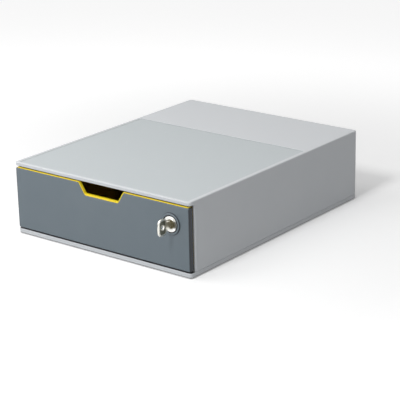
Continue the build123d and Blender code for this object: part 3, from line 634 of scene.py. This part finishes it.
def turned_look(colours, stain_and_glint, rings, roughness, painted_bow_tie, rim):
    """The look of a plated piece turned about the lock's axis: the colour of its spots (dark
    stains on chrome, painted glints on nickel), rings for each millimetre, how dark the
    painted bow tie reflection is, and the radius from which the painted highlight on its rim
    starts."""

    def look(graph, place):
        x, _, z = graph.xyz(place)
        reach = distance_to(graph, x, z, LOCK_PLACE)
        lines = graph.maths("SINE", reach * (TURN * rings))
        smear = graph.noise(place, 0.35, detail=4.0)
        stain_and_glint_spots = graph.smooth(graph.noise(place, 1.6, detail=2.0), 0.62, 0.75)
        lean = abs(z - LOCK_Z) / graph.maths("MAXIMUM", reach, 0.1)
        colour = graph.mix(smear, *colours)
        # painted reflection: the sides of the face are darkened, the bow tie that the rings
        # would reflect
        painted_dark_sides = 1 - graph.smooth(lean, 0.35, 0.85)
        colour = graph.mix(painted_dark_sides * painted_bow_tie, colour, PAINTED_REFLECTION_DARK)
        # dark stains on the chrome, painted glints on the nickel plug
        colour = graph.mix(stain_and_glint_spots * 0.5, colour, stain_and_glint)
        # painted highlight: the rim is lightened at its top and bottom
        painted_highlight = graph.smooth(reach, rim, rim + 0.3) * graph.smooth(lean, 0.4, 0.8)
        colour = graph.mix(painted_highlight * 0.8, colour, CHROME[1])
        return {
            "Base Color": colour,
            "Roughness": roughness + smear * 0.12 + stain_and_glint_spots * 0.1,
            "Normal": bump(graph, lines * 0.5 + smear, 0.004),
        }

    return look


barrel_look = turned_look(CHROME, CHROME_SPOT, rings=1.2, roughness=0.07, painted_bow_tie=0.85, rim=7.0)
plug_look = turned_look(NICKEL, NICKEL_GLINT, rings=2.0, roughness=0.2, painted_bow_tie=0.3, rim=5.7)
finish("lock_chrome", barrel_look, Metallic=1.0)
finish("plug_nickel", plug_look, Metallic=1.0)

# %% [markdown]
# The key's bow has a sunk panel on each side, cut into its mesh further down. Hands polish
# what stands proud and leave the panel dull, so its colour needs the panel's outline too: a
# rounded rectangle is every point within a radius of a smaller rectangle, its core.

# %% Key
(KEY_LEFT, KEY_FRONT, _), (KEY_RIGHT, _, _) = node_box("key")
BOW_HALF = 7.5
BOW_OUT, BOW_UP = KEY_FRONT + BOW_HALF, LOCK_Z  # the y and z of the bow's middle
CORE_OUT, CORE_UP, PANEL_R = 2.5, 5.5, 2.6
PANEL_HOLE_R = 3.6
BLUR = 0.1
KEY_DARK = seen(222, 220, 210)
KEY_LIGHT = seen(244, 243, 236)
KEY_PANEL = seen(124, 121, 100)


def key_look(graph, place):
    _, y, z = graph.xyz(place)
    off_y = graph.maths("MAXIMUM", abs(y - BOW_OUT) - CORE_OUT, 0.0)
    off_z = graph.maths("MAXIMUM", abs(z - BOW_UP) - CORE_UP, 0.0)
    reach = graph.maths("SQRT", off_y * off_y + off_z * off_z)
    panel = 1 - graph.smooth(reach, PANEL_R - BLUR, PANEL_R + BLUR)
    from_hole = distance_to(graph, y, z, (BOW_OUT, BOW_UP))
    hole_rim = 1 - graph.smooth(from_hole, PANEL_HOLE_R - BLUR, PANEL_HOLE_R + BLUR)
    drawn_out = stretched(graph, place, 3.0, 0.25, 3.0)
    scratches = graph.noise(drawn_out, 1.0, detail=5.0, roughness=0.7)
    smear = graph.noise(place, 0.3, detail=3.0)
    colour = graph.mix(smear, KEY_DARK, KEY_LIGHT)
    colour = graph.mix(panel * (1 - hole_rim) * 0.85, colour, KEY_PANEL)
    return {
        "Base Color": colour,
        "Roughness": 0.2 + scratches * 0.15 + smear * 0.08,
        "Normal": bump(graph, scratches, 0.015),
    }


finish("key_nickel", key_look, Metallic=1.0)

# %% [markdown]
# Zinc plating on steel shows crystals of slightly different tone. Voronoi cells give
# each crystal one random value.

# %% Zinc plate
ZINC_DARK = seen(158, 161, 166)
ZINC_LIGHT = seen(206, 209, 213)
ZINC_STAIN = seen(150, 140, 116)


def zinc_look(size):
    """The look of zinc plate whose crystals are about this size in millimetres."""

    def look(graph, place):
        sockets = {"Vector": place, "Scale": 1 / size}
        cells = graph.node("ShaderNodeTexVoronoi", None, sockets, out="Color")
        tone, _, _ = graph.xyz(cells)
        haze = graph.noise(place, 0.2, detail=4.0)
        stain = graph.smooth(graph.noise(place, 0.5, detail=3.0), 0.58, 0.75)
        colour = graph.mix(tone * 0.6 + haze * 0.4, ZINC_DARK, ZINC_LIGHT)
        colour = graph.mix(stain * 0.3, colour, ZINC_STAIN)
        return {
            "Base Color": colour,
            "Roughness": 0.28 + tone * 0.14 + haze * 0.12,
            "Normal": bump(graph, haze + tone * 0.3, 0.01),
        }

    return look


finish("strike_steel", zinc_look(1.4), Metallic=1.0)
finish("screw_steel", zinc_look(0.7), Metallic=1.0)

# %% [markdown]
# Rubber is dull, almost black, and holds dust in its fine pores.

# %% Rubber
RUBBER_BLACK = seen(38, 38, 40)
RUBBER_DUST = seen(112, 110, 106)


def rubber_look(graph, place):
    pores = grain(graph, place, 0.25)
    dust = graph.smooth(graph.noise(place, 0.4, detail=5.0, roughness=0.7), 0.45, 0.75)
    return {
        "Base Color": graph.mix(dust * 0.3, RUBBER_BLACK, RUBBER_DUST),
        "Roughness": 0.72 + dust * 0.2,
        "Normal": bump(graph, pores + dust * 0.5, 0.03),
    }


finish("rubber", rubber_look)

# %% [markdown]
# ## Small metal parts with Geometry Nodes
# Pan-head screws with a cross recess hold the runners, the base, the strike and the cap,
# and one holds the cam. Fifteen equal things could be copied by hand, or made as one mesh
# and instanced. Here a tree makes the screw from a flat grid whose rows run from the middle
# of the head to the tip, and whose columns go once round the axis: each vertex gets its
# radius and height from formulas of the two. Because the tree has named inputs, the same
# tree serves every size of screw.

# %% A grid wound round an axis
SEED = 7
JOIN_WITHIN = 1e-6  # metres


def along(graph, u, stations):
    """A value that passes through each (u, value) station, straight between them."""
    total = stations[0][1]
    for (start, low), (end, high) in zip(stations, stations[1:]):
        rise = {0: u, 1: start, 2: end, 3: 0.0, 4: high - low}
        total = total + graph.node("ShaderNodeMapRange", None, rise)
    return total


def wound_grid(graph, rows, columns, shape):
    """A grid wound round Z. shape(u, turn) gives each vertex's radius and height."""
    sizes = {"Size X": 1.0, "Size Y": 1.0, "Vertices X": rows, "Vertices Y": columns + 1}
    grid = graph.node("GeometryNodeMeshGrid", None, sizes)
    x, y, _ = graph.xyz(graph.node("GeometryNodeInputPosition"))
    u, angle = x + 0.5, (y + 0.5) * TURN
    radius, height = shape(u, angle)
    place = graph.join(
        radius * graph.maths("COSINE", angle) * MM,
        radius * graph.maths("SINE", angle) * MM,
        height * MM,
    )
    return graph.node("GeometryNodeSetPosition", None, {"Geometry": grid, "Position": place})


def new_tree(name, numbers):
    """A geometry tree with one geometry and some number inputs, all in millimetres."""
    tree = bpy.data.node_groups.new(name, "GeometryNodeTree")
    tree.interface.new_socket("Geometry", in_out="OUTPUT", socket_type="NodeSocketGeometry")
    kinds = {"Places": "Geometry", **{title: "Float" for title in numbers}}
    kinds.update({"Facing": "Vector", "Finish": "Material"})
    for title, kind in kinds.items():
        tree.interface.new_socket(title, in_out="INPUT", socket_type="NodeSocket" + kind)
    graph = Graph(tree)
    start = graph.node("NodeGroupInput").socket.node
    given = {output.name: Wire(graph, output) for output in start.outputs if output.name}
    return graph, given


def set_out(graph, given, thing):
    """Stands one thing on each place, turned to face one way, and ends the tree."""
    join = {"Geometry": thing, "Distance": JOIN_WITHIN}
    whole = graph.node("GeometryNodeMergeByDistance", None, join)
    axis = {"axis": "Z"}
    facing = graph.node("FunctionNodeAlignRotationToVector", axis, {"Vector": given["Facing"]})
    kind = {"data_type": "FLOAT"}
    chance = graph.node("FunctionNodeRandomValue", kind, {"Seed": SEED}, out=1)
    spin = graph.node("FunctionNodeAxisAngleToRotation", None, {0: (0, 0, 1), 1: chance * TURN})
    local = {"rotation_space": "LOCAL"}
    turned = graph.node("FunctionNodeRotateRotation", local, {0: facing, 1: spin})
    sockets = {"Points": given["Places"], "Instance": whole, "Rotation": turned}
    copies = graph.node("GeometryNodeInstanceOnPoints", None, sockets)
    real = graph.node("GeometryNodeRealizeInstances", None, {"Geometry": copies})
    sockets = {"Geometry": real, "Material": given["Finish"]}
    worn = graph.node("GeometryNodeSetMaterial", None, sockets)
    graph.node("NodeGroupOutput", None, {"Geometry": worn})


print("along, wound_grid, new_tree and set_out are ready, with seed", SEED)

# %% [markdown]
# The head's section is written in shares of its radius and height, so one list fits each
# size. The cross is where a point is near one of two lines through the middle and not too
# far out, and the thread is a wave that climbs one pitch in each turn.

# %% The screw's tree
NUMBERS = ("Head radius", "Head height", "Shank radius", "Length", "Pitch", "Thread depth")
screws, given = new_tree("pan_head_screw", NUMBERS)
head_r, head_h, shank_r, length, pitch, thread = (given[title] for title in NUMBERS)

RIM_SHARES = ((0.6, 0.8), (0.7, 0.93), (0.8, 1.0), (0.9, 1.0), (0.95, 0.96))
FALL_SHARES = ((0.0, 0.0), (0.6, 0.1), (0.7, 0.25), (0.8, 0.55), (0.9, 0.92), (0.95, 1.0))
NECK_SHARE = 0.9
ARM_EDGE, ARM_END, ARM_DEPTH = (0.28, 0.42), (0.4, 0.62), 0.55
TIP_STARTS = 0.88


def head_shape(u, angle):
    """The head, from its middle over the rim to the shank, with a cross recess."""
    rim = [(at, head_r * share) for at, share in RIM_SHARES]
    radius = along(screws, u, [(0.0, 0.0), *rim, (1.0, shank_r * NECK_SHARE)])
    fall = along(screws, u, FALL_SHARES)
    across = abs(radius * screws.maths("COSINE", angle))
    upward = abs(radius * screws.maths("SINE", angle))
    narrow = screws.maths("MINIMUM", across, upward)
    wide = screws.maths("MAXIMUM", across, upward)
    arm = 1 - screws.smooth(narrow, *ARM_EDGE)
    arm = arm * (1 - screws.smooth(wide, *(head_r * share for share in ARM_END)))
    return radius, head_h * (1 - fall) - head_h - arm * head_h * ARM_DEPTH


def thread_shape(u, angle):
    """The shank, whose thread is a ridge that climbs one pitch in each turn."""
    drop = u * (length - head_h)
    climb = screws.maths("FLOORED_MODULO", drop / pitch - angle / TURN, 1.0)
    ridge = 1 - abs(climb - 0.5) * 2
    tip = screws.smooth(u, 1.0, TIP_STARTS)
    root = shank_r - thread
    radius = (root + thread * ridge * ridge) * tip
    return radius, 0 - head_h - drop


head = wound_grid(screws, 41, 32, head_shape)
shank = wound_grid(screws, 97, 24, thread_shape)
both = screws.node("GeometryNodeJoinGeometry")
for part in (head, shank):
    screws.tree.links.new(part.socket, both.socket.node.inputs[0])
set_out(screws, given, both)
print("the screw's tree has", len(screws.tree.nodes), "nodes")

# %% [markdown]
# A screw's place and size are read from the node that it replaces: a copy of the node's
# mesh falls apart into its separate solids, and the box round each solid gives the head's
# middle, its radius and the screw's whole length. So nothing is measured twice, and a
# change in the CAD reaches this picture by itself.

# %% Places
CREASE = 35  # degrees: sharper edges stay crisp


def merged_copy(node):
    """A bmesh of a CAD node's mesh with its loose triangles joined up."""
    mesh = bmesh.new()
    mesh.from_mesh(NODES[node].data)
    bmesh.ops.remove_doubles(mesh, verts=mesh.verts, dist=JOIN_WITHIN)
    return mesh


def solid_boxes(node):
    """The lowest and highest corner of each separate solid of a node, in millimetres."""
    mesh = merged_copy(node)
    left = set(mesh.verts)
    boxes = []
    while left:
        solid, edge = [], [left.pop()]
        while edge:
            vertex = edge.pop()
            solid.append(vertex.co / MM)
            for link in vertex.link_edges:
                other = link.other_vert(vertex)
                if other in left:
                    left.remove(other)
                    edge.append(other)
        points = np.array(solid)
        boxes.append((points.min(axis=0), points.max(axis=0)))
    mesh.free()
    return boxes


def on_face(low, high, facing):
    """The middle of the side of a box that faces this way, and the axis that it is on."""
    axis = int(np.abs(facing).argmax())
    place = (low + high) / 2
    place[axis] = high[axis] if facing[axis] > 0 else low[axis]
    return place.tolist(), axis


def soften(mesh, degrees=CREASE):
    """Smooth shading, with edges sharper than this left crisp."""
    mesh.polygons.foreach_set("use_smooth", [True] * len(mesh.polygons))
    mesh.set_sharp_from_angle(angle=math.radians(degrees))


def settle(made, modifier):
    """Gives an object its modifier's result as a plain mesh and drops the modifier."""
    done = made.evaluated_get(bpy.context.evaluated_depsgraph_get())
    plain = bpy.data.meshes.new_from_object(done)
    made.modifiers.remove(modifier)
    made.data = plain
    soften(plain)


def grown(name, tree, places, inputs):
    """The plain mesh object that a tree makes on these places, in millimetres."""
    mesh = bpy.data.meshes.new(name)
    mesh.from_pydata([Vector(place) * MM for place in places], [], [])
    made = placed(name, mesh)
    modifier = made.modifiers.new("grow", "NODES")
    modifier.node_group = tree
    for item in tree.interface.items_tree:
        if item.in_out == "INPUT" and item.name in inputs:
            modifier[item.identifier] = inputs[item.name]
    settle(made, modifier)
    made.data.name = name
    return made


def instead_of(piece, node, body):
    """Puts a finished piece in the place of a CAD node."""
    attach(piece, body)
    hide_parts(node)
    triangles = sum(len(face.vertices) - 2 for face in piece.data.polygons)
    print(piece.name, "stands for", node, "with", triangles, "triangles")


strike_places = [[round(float(v), 1) for v in low] for low, _ in solid_boxes("strike_screws")]
print("strike_screws:", strike_places)

# %% Screws
HEAD_H, SCREW_R, SCREW_PITCH, THREAD_DEPTH = 1.8, 1.3, 1.2, 0.35
SCREW_GROUPS = {
    "runner_screws": ("housing", (0, 0, -1)),
    "base_screws": ("housing", (0, 0, -1)),
    "strike_screws": ("housing", (0, 0, -1)),
    "fascia_screws": ("drawer", (0, 1, 0)),
    "cam_screw": ("plug", (0, 1, 0)),
}
for node, (body, facing) in SCREW_GROUPS.items():
    places = []
    for low, high in solid_boxes(node):
        place, axis = on_face(low, high, facing)
        places.append(place)
    side = (axis + 1) % 3
    inputs = {
        "Head radius": float(high[side] - low[side]) / 2,
        "Head height": HEAD_H,
        "Shank radius": SCREW_R,
        "Length": float(high[axis] - low[axis]),
        "Pitch": SCREW_PITCH,
        "Thread depth": THREAD_DEPTH,
        "Facing": [float(v) for v in facing],
        "Finish": bpy.data.materials["screw_steel"],
    }
    screw = grown(node + "_threaded", screws.tree, places, inputs)
    instead_of(screw, node, body)

# %% [markdown]
# ### Rubber pads
# The feet and the two buffers are small moulded pads. A foot grips the desk with fine
# rings on its sole, which a second, simpler tree makes with the same wound grid: a cosine
# of the radius sinks the grooves.

# %% The pad's tree
PAD_NUMBERS = ("Radius", "Height", "Rings", "Groove")
pads, given = new_tree("rubber_pad", PAD_NUMBERS)
pad_r, pad_h, rings, groove = (given[title] for title in PAD_NUMBERS)


def pad_shape(u, angle):
    """A pad, from the middle of its sole over its rounded edge to the middle behind."""
    wall = [(0.7, pad_r - 0.6), (0.75, pad_r - 0.2), (0.8, pad_r), (0.95, pad_r)]
    radius = along(pads, u, [(0.0, 0.0), *wall, (1.0, 0.0)])
    height = along(pads, u, [(0.7, 0.0), (0.75, -0.15), (0.8, -0.6), (0.9, 0 - pad_h)])
    wave = 0.5 - 0.5 * pads.maths("COSINE", radius / pad_r * rings * TURN)
    sole = 1 - pads.smooth(u, 0.6, 0.66)
    return radius, height - wave * groove * sole


pad = wound_grid(pads, 101, 40, pad_shape)
set_out(pads, given, pad)
print("the pad's tree has", len(pads.tree.nodes), "nodes")

# %% Feet and buffers
GROOVE = 0.3
DOWN, OUT_FRONT = (0, 0, -1), (0, -1, 0)
PADS = {
    "foot_front_left": (DOWN, 5.0),
    "foot_front_right": (DOWN, 5.0),
    "foot_rear_left": (DOWN, 5.0),
    "foot_rear_right": (DOWN, 5.0),
    "left_buffer": (OUT_FRONT, 2.0),
    "right_buffer": (OUT_FRONT, 2.0),
}
for node, (facing, count) in PADS.items():
    low, high = solid_boxes(node)[0]
    place, axis = on_face(low, high, facing)
    inputs = {
        "Radius": float(high[0] - low[0]) / 2,
        "Height": float(high[axis] - low[axis]),
        "Rings": count,
        "Groove": GROOVE,
        "Facing": [float(v) for v in facing],
        "Finish": bpy.data.materials["rubber"],
    }
    pad_piece = grown(node + "_ringed", pads.tree, [place], inputs)
    instead_of(pad_piece, node, "housing")

# %% [markdown]
# ### The lock's body and nut
# The lock's body is one turned piece with a thread that is milled flat on two sides. Its
# section goes round the axis as in the trees above, but here it is plain Python, since
# there is only one. The flats come from cutting the radius short wherever a point would
# lie beyond them, which a lathe can't do and a formula can.

# %% A section wound in Python
COLUMNS = 96
TURNED_CREASE = 32


def wound(name, rows):
    """A closed ring of rows, each of (radius, depth) for every angle, about the lock's axis."""
    mesh = bpy.data.meshes.new(name)
    points, faces = [], []
    for row in rows:
        for column in range(COLUMNS):
            angle = TURN * column / COLUMNS
            radius, depth = row(angle)
            x, z = LOCK_X + radius * math.cos(angle), LOCK_Z + radius * math.sin(angle)
            points.append(Vector((x, LOCK_Y + depth, z)) * MM)
    for i in range(len(rows)):
        for j in range(COLUMNS):
            k, after = (i + 1) % len(rows), (j + 1) % COLUMNS
            a, b = i * COLUMNS, k * COLUMNS
            faces.append((a + j, a + after, b + after, b + j))
    mesh.from_pydata(points, [], faces)
    mesh.materials.append(bpy.data.materials["lock_chrome"])
    shape = bmesh.new()
    shape.from_mesh(mesh)
    bmesh.ops.recalc_face_normals(shape, faces=shape.faces)
    shape.to_mesh(mesh)
    shape.free()
    soften(mesh, TURNED_CREASE)
    return placed(name, mesh)


def ring(radius, depth):
    """A plain round row."""
    return lambda angle: (radius, depth)


print("wound and ring are ready, with", COLUMNS, "columns")

# %% [markdown]
# The head's section is a list of corners, as on a maker's drawing: up the bore from the
# far end, over the seat of the plug, the sloping face and the rounded rim, and back to the
# shank. The thread needs no list, since eight rows in every turn carry its wave.

# %% Lock body
CREST_R, ROOT_R, FLAT, LOCK_PITCH = 8.0, 7.45, 7.2, 1.0
_, (_, BARREL_BACK, _) = node_box("lock_barrel")
SHANK_L = BARREL_BACK - LOCK_Y
ROWS_PER_TURN, PLAIN_END, TAIL_CHAMFER = 8, 0.6, 0.3
HEAD_SECTION = (
    (6.05, SHANK_L),
    (6.05, -0.25),
    (7.05, -0.25),
    (7.05, -0.8),
    (7.15, -0.92),
    (9.25, -1.44),
    (9.45, -1.5),
    (9.62, -1.44),
    (9.9, -1.05),
    (9.98, -0.9),
    (10.0, -0.75),
    (10.0, -0.1),
    (9.9, 0.0),
)


def flatted(radius, depth):
    """A round row, cut short at the two flats."""

    def row(angle):
        across = abs(math.cos(angle))
        return (min(radius, FLAT / across) if across > 0.5 else radius), depth

    return row


def threaded(depth):
    """One row of the shank: the thread's wave, cut short at the two flats."""

    def row(angle):
        phase = (depth / LOCK_PITCH - angle / TURN) % 1.0
        wave = 1 - abs(phase - 0.5) * 2
        radius = ROOT_R + (CREST_R - ROOT_R) * min(1.0, wave * 1.2)
        return flatted(radius, depth)(angle)

    return row


thread_l = SHANK_L - 2 * PLAIN_END
steps = int(thread_l / LOCK_PITCH * ROWS_PER_TURN)
barrel_rows = [
    *[ring(radius, depth) for radius, depth in HEAD_SECTION],
    flatted(ROOT_R, 0.0),
    *[threaded(PLAIN_END + i * thread_l / steps) for i in range(steps + 1)],
    flatted(ROOT_R, SHANK_L - TAIL_CHAMFER),
    flatted(ROOT_R - TAIL_CHAMFER, SHANK_L),
]
barrel = wound("lock_barrel_turned", barrel_rows)
instead_of(barrel, "lock_barrel", "drawer")

# %% [markdown]
# A pressed nut has its six corners turned off at thirty degrees. With a radius that
# follows the hexagon and a height that falls beyond the chamfer's circle, the curved
# lines where cone and flats meet come out by themselves.

# %% Lock nut
(_, NUT_FRONT_Y, NUT_LOW), (_, NUT_BACK_Y, NUT_HIGH) = node_box("lock_nut")
NUT_FRONT, NUT_BACK = NUT_FRONT_Y - LOCK_Y, NUT_BACK_Y - LOCK_Y
NUT_APOTHEM = (NUT_HIGH - NUT_LOW) / 2
CHAMFER_FROM, CHAMFER_SLOPE = 10.7, math.tan(math.radians(30))
NUT_BORE, NUT_THREAD, MOUTH_R, MOUTH_DEPTH = 8.2, 0.3, 8.55, 0.4
BORE_STEPS = 24


def hexagon(angle):
    """The radius of the nut's hexagon at this angle."""
    return NUT_APOTHEM / math.cos((angle + TURN / 12) % (TURN / 6) - TURN / 12)


def nut_row(share, face, inward):
    """A row from the chamfer's circle out to the hexagon, on one of the two faces."""

    def row(angle):
        radius = CHAMFER_FROM + (hexagon(angle) - CHAMFER_FROM) * share
        return radius, face + inward * (radius - CHAMFER_FROM) * CHAMFER_SLOPE

    return row


def bore_row(depth):
    """A row of the nut's thread."""

    def row(angle):
        phase = (depth / LOCK_PITCH - angle / TURN) % 1.0
        return NUT_BORE + NUT_THREAD * abs(phase - 0.5), depth

    return row


bore_step = (NUT_BACK - NUT_FRONT - 2 * MOUTH_DEPTH) / BORE_STEPS
nut_rows = [
    ring(MOUTH_R, NUT_FRONT),
    *[nut_row(share, NUT_FRONT, 1) for share in (0.0, 0.5, 1.0)],
    *[nut_row(share, NUT_BACK, -1) for share in (1.0, 0.5, 0.0)],
    ring(MOUTH_R, NUT_BACK),
    *[bore_row(NUT_BACK - MOUTH_DEPTH - i * bore_step) for i in range(BORE_STEPS + 1)],
]
nut = wound("lock_nut_chamfered", nut_rows)
instead_of(nut, "lock_nut", "drawer")

# %% [markdown]
# ### Stamped parts
# The key, the cam and the strike are cut from sheet, and a sharp CAD edge gives them away
# as computer made: a real one is tumbled until its edges catch the light. A copy of the
# node's mesh is joined up, its flat faces are made whole again, and its sharp edges get a
# small bevel. The turned plug gets the same treatment, with a smaller one.

# %% Cutting a mesh


def cut_with(made, cutter):
    """Cuts one mesh object out of another and keeps the result as a plain mesh."""
    modifier = made.modifiers.new("cut", "BOOLEAN")
    modifier.operation = "DIFFERENCE"
    modifier.solver = "EXACT"
    modifier.object = cutter
    settle(made, modifier)
    bpy.data.objects.remove(cutter)
    print(made.name, "after the cut:", len(made.data.polygons), "faces")


print("cut_with is ready")

# %% Bevelled copies
FLAT_WITHIN = math.radians(1)


def tumbled(node, width, body, slot, segments=2, cutter=None):
    """A copy of a CAD node with its sharp edges rounded by this width in millimetres."""
    mesh = merged_copy(node)
    bmesh.ops.dissolve_limit(mesh, angle_limit=FLAT_WITHIN, verts=mesh.verts, edges=mesh.edges)
    closed = [edge for edge in mesh.edges if len(edge.link_faces) == 2]
    sharp = [edge for edge in closed if edge.calc_face_angle() > math.radians(CREASE)]
    bmesh.ops.bevel(
        mesh,
        geom=sharp,
        offset=width * MM,
        segments=segments,
        affect="EDGES",
        profile=0.5,
        clamp_overlap=True,
    )
    plain = bpy.data.meshes.new(node + "_tumbled")
    mesh.to_mesh(plain)
    mesh.free()
    plain.materials.append(bpy.data.materials[slot])
    soften(plain)
    made = placed(node + "_tumbled", plain)
    if cutter:
        cut_with(made, cutter)
    instead_of(made, node, body)


tumbled("lock_cam", 0.25, "plug", "strike_steel")
tumbled("lock_strike", 0.2, "housing", "strike_steel")
tumbled("lock_plug", 0.12, "plug", "plug_nickel", segments=1)

# %% [markdown]
# The key is coined as well as stamped: a press sinks the panel on both sides of the bow
# and a cutter mills one groove along the blade. Both are cut out of the bevelled mesh,
# after the bevel, so that the panel's own edge stays as crisp as a press leaves it.

# %% Key cutter
KEY_HALF_T = (KEY_RIGHT - KEY_LEFT) / 2
PANEL_DEPTH = 0.25
GROOVE_UP, GROOVE_HALF_W, GROOVE_DEPTH = 64.3, 0.6, 0.35
GROOVE_FROM, GROOVE_TO = -167.0, -149.0
CLEAR = 0.5  # how far the cutter stands out of the key
LOOP = 48


def panel_solid(mesh, low_x, high_x):
    """Adds a panel's solid: a rounded rectangle with a round hole, between two depths."""
    loops = []
    for x in (low_x, high_x):
        for outer in (True, False):
            loop = []
            for i in range(LOOP):
                angle = TURN * (i + 0.5) / LOOP
                cosine, sine = math.cos(angle), math.sin(angle)
                if outer:
                    y = math.copysign(CORE_OUT, cosine) + PANEL_R * cosine
                    z = math.copysign(CORE_UP, sine) + PANEL_R * sine
                else:
                    y, z = PANEL_HOLE_R * cosine, PANEL_HOLE_R * sine
                loop.append(mesh.verts.new(Vector((x, BOW_OUT + y, BOW_UP + z)) * MM))
            loops.append(loop)
    order = (loops[0], loops[1], loops[3], loops[2])
    for first, second in zip(order, order[1:] + order[:1]):
        for i in range(LOOP):
            j = (i + 1) % LOOP
            mesh.faces.new((first[i], first[j], second[j], second[i]))


shape = bmesh.new()
for side in (-1, 1):
    floor_x = LOCK_X + side * (KEY_HALF_T - PANEL_DEPTH)
    clear_x = LOCK_X + side * (KEY_HALF_T + CLEAR)
    panel_solid(shape, min(floor_x, clear_x), max(floor_x, clear_x))
groove_x = LOCK_X + KEY_HALF_T - GROOVE_DEPTH + CLEAR
middle = Vector((groove_x, (GROOVE_FROM + GROOVE_TO) / 2, GROOVE_UP))
size = Vector((2 * CLEAR, GROOVE_TO - GROOVE_FROM, 2 * GROOVE_HALF_W))
where = Matrix.Translation(middle * MM) @ Matrix.Diagonal((*(size * MM), 1.0))
bmesh.ops.create_cube(shape, size=1.0, matrix=where)
bmesh.ops.recalc_face_normals(shape, faces=shape.faces)
cutter_mesh = bpy.data.meshes.new("key_cutter")
shape.to_mesh(cutter_mesh)
shape.free()
tumbled("key", 0.28, "key", "key_nickel", cutter=placed("key_cutter", cutter_mesh))
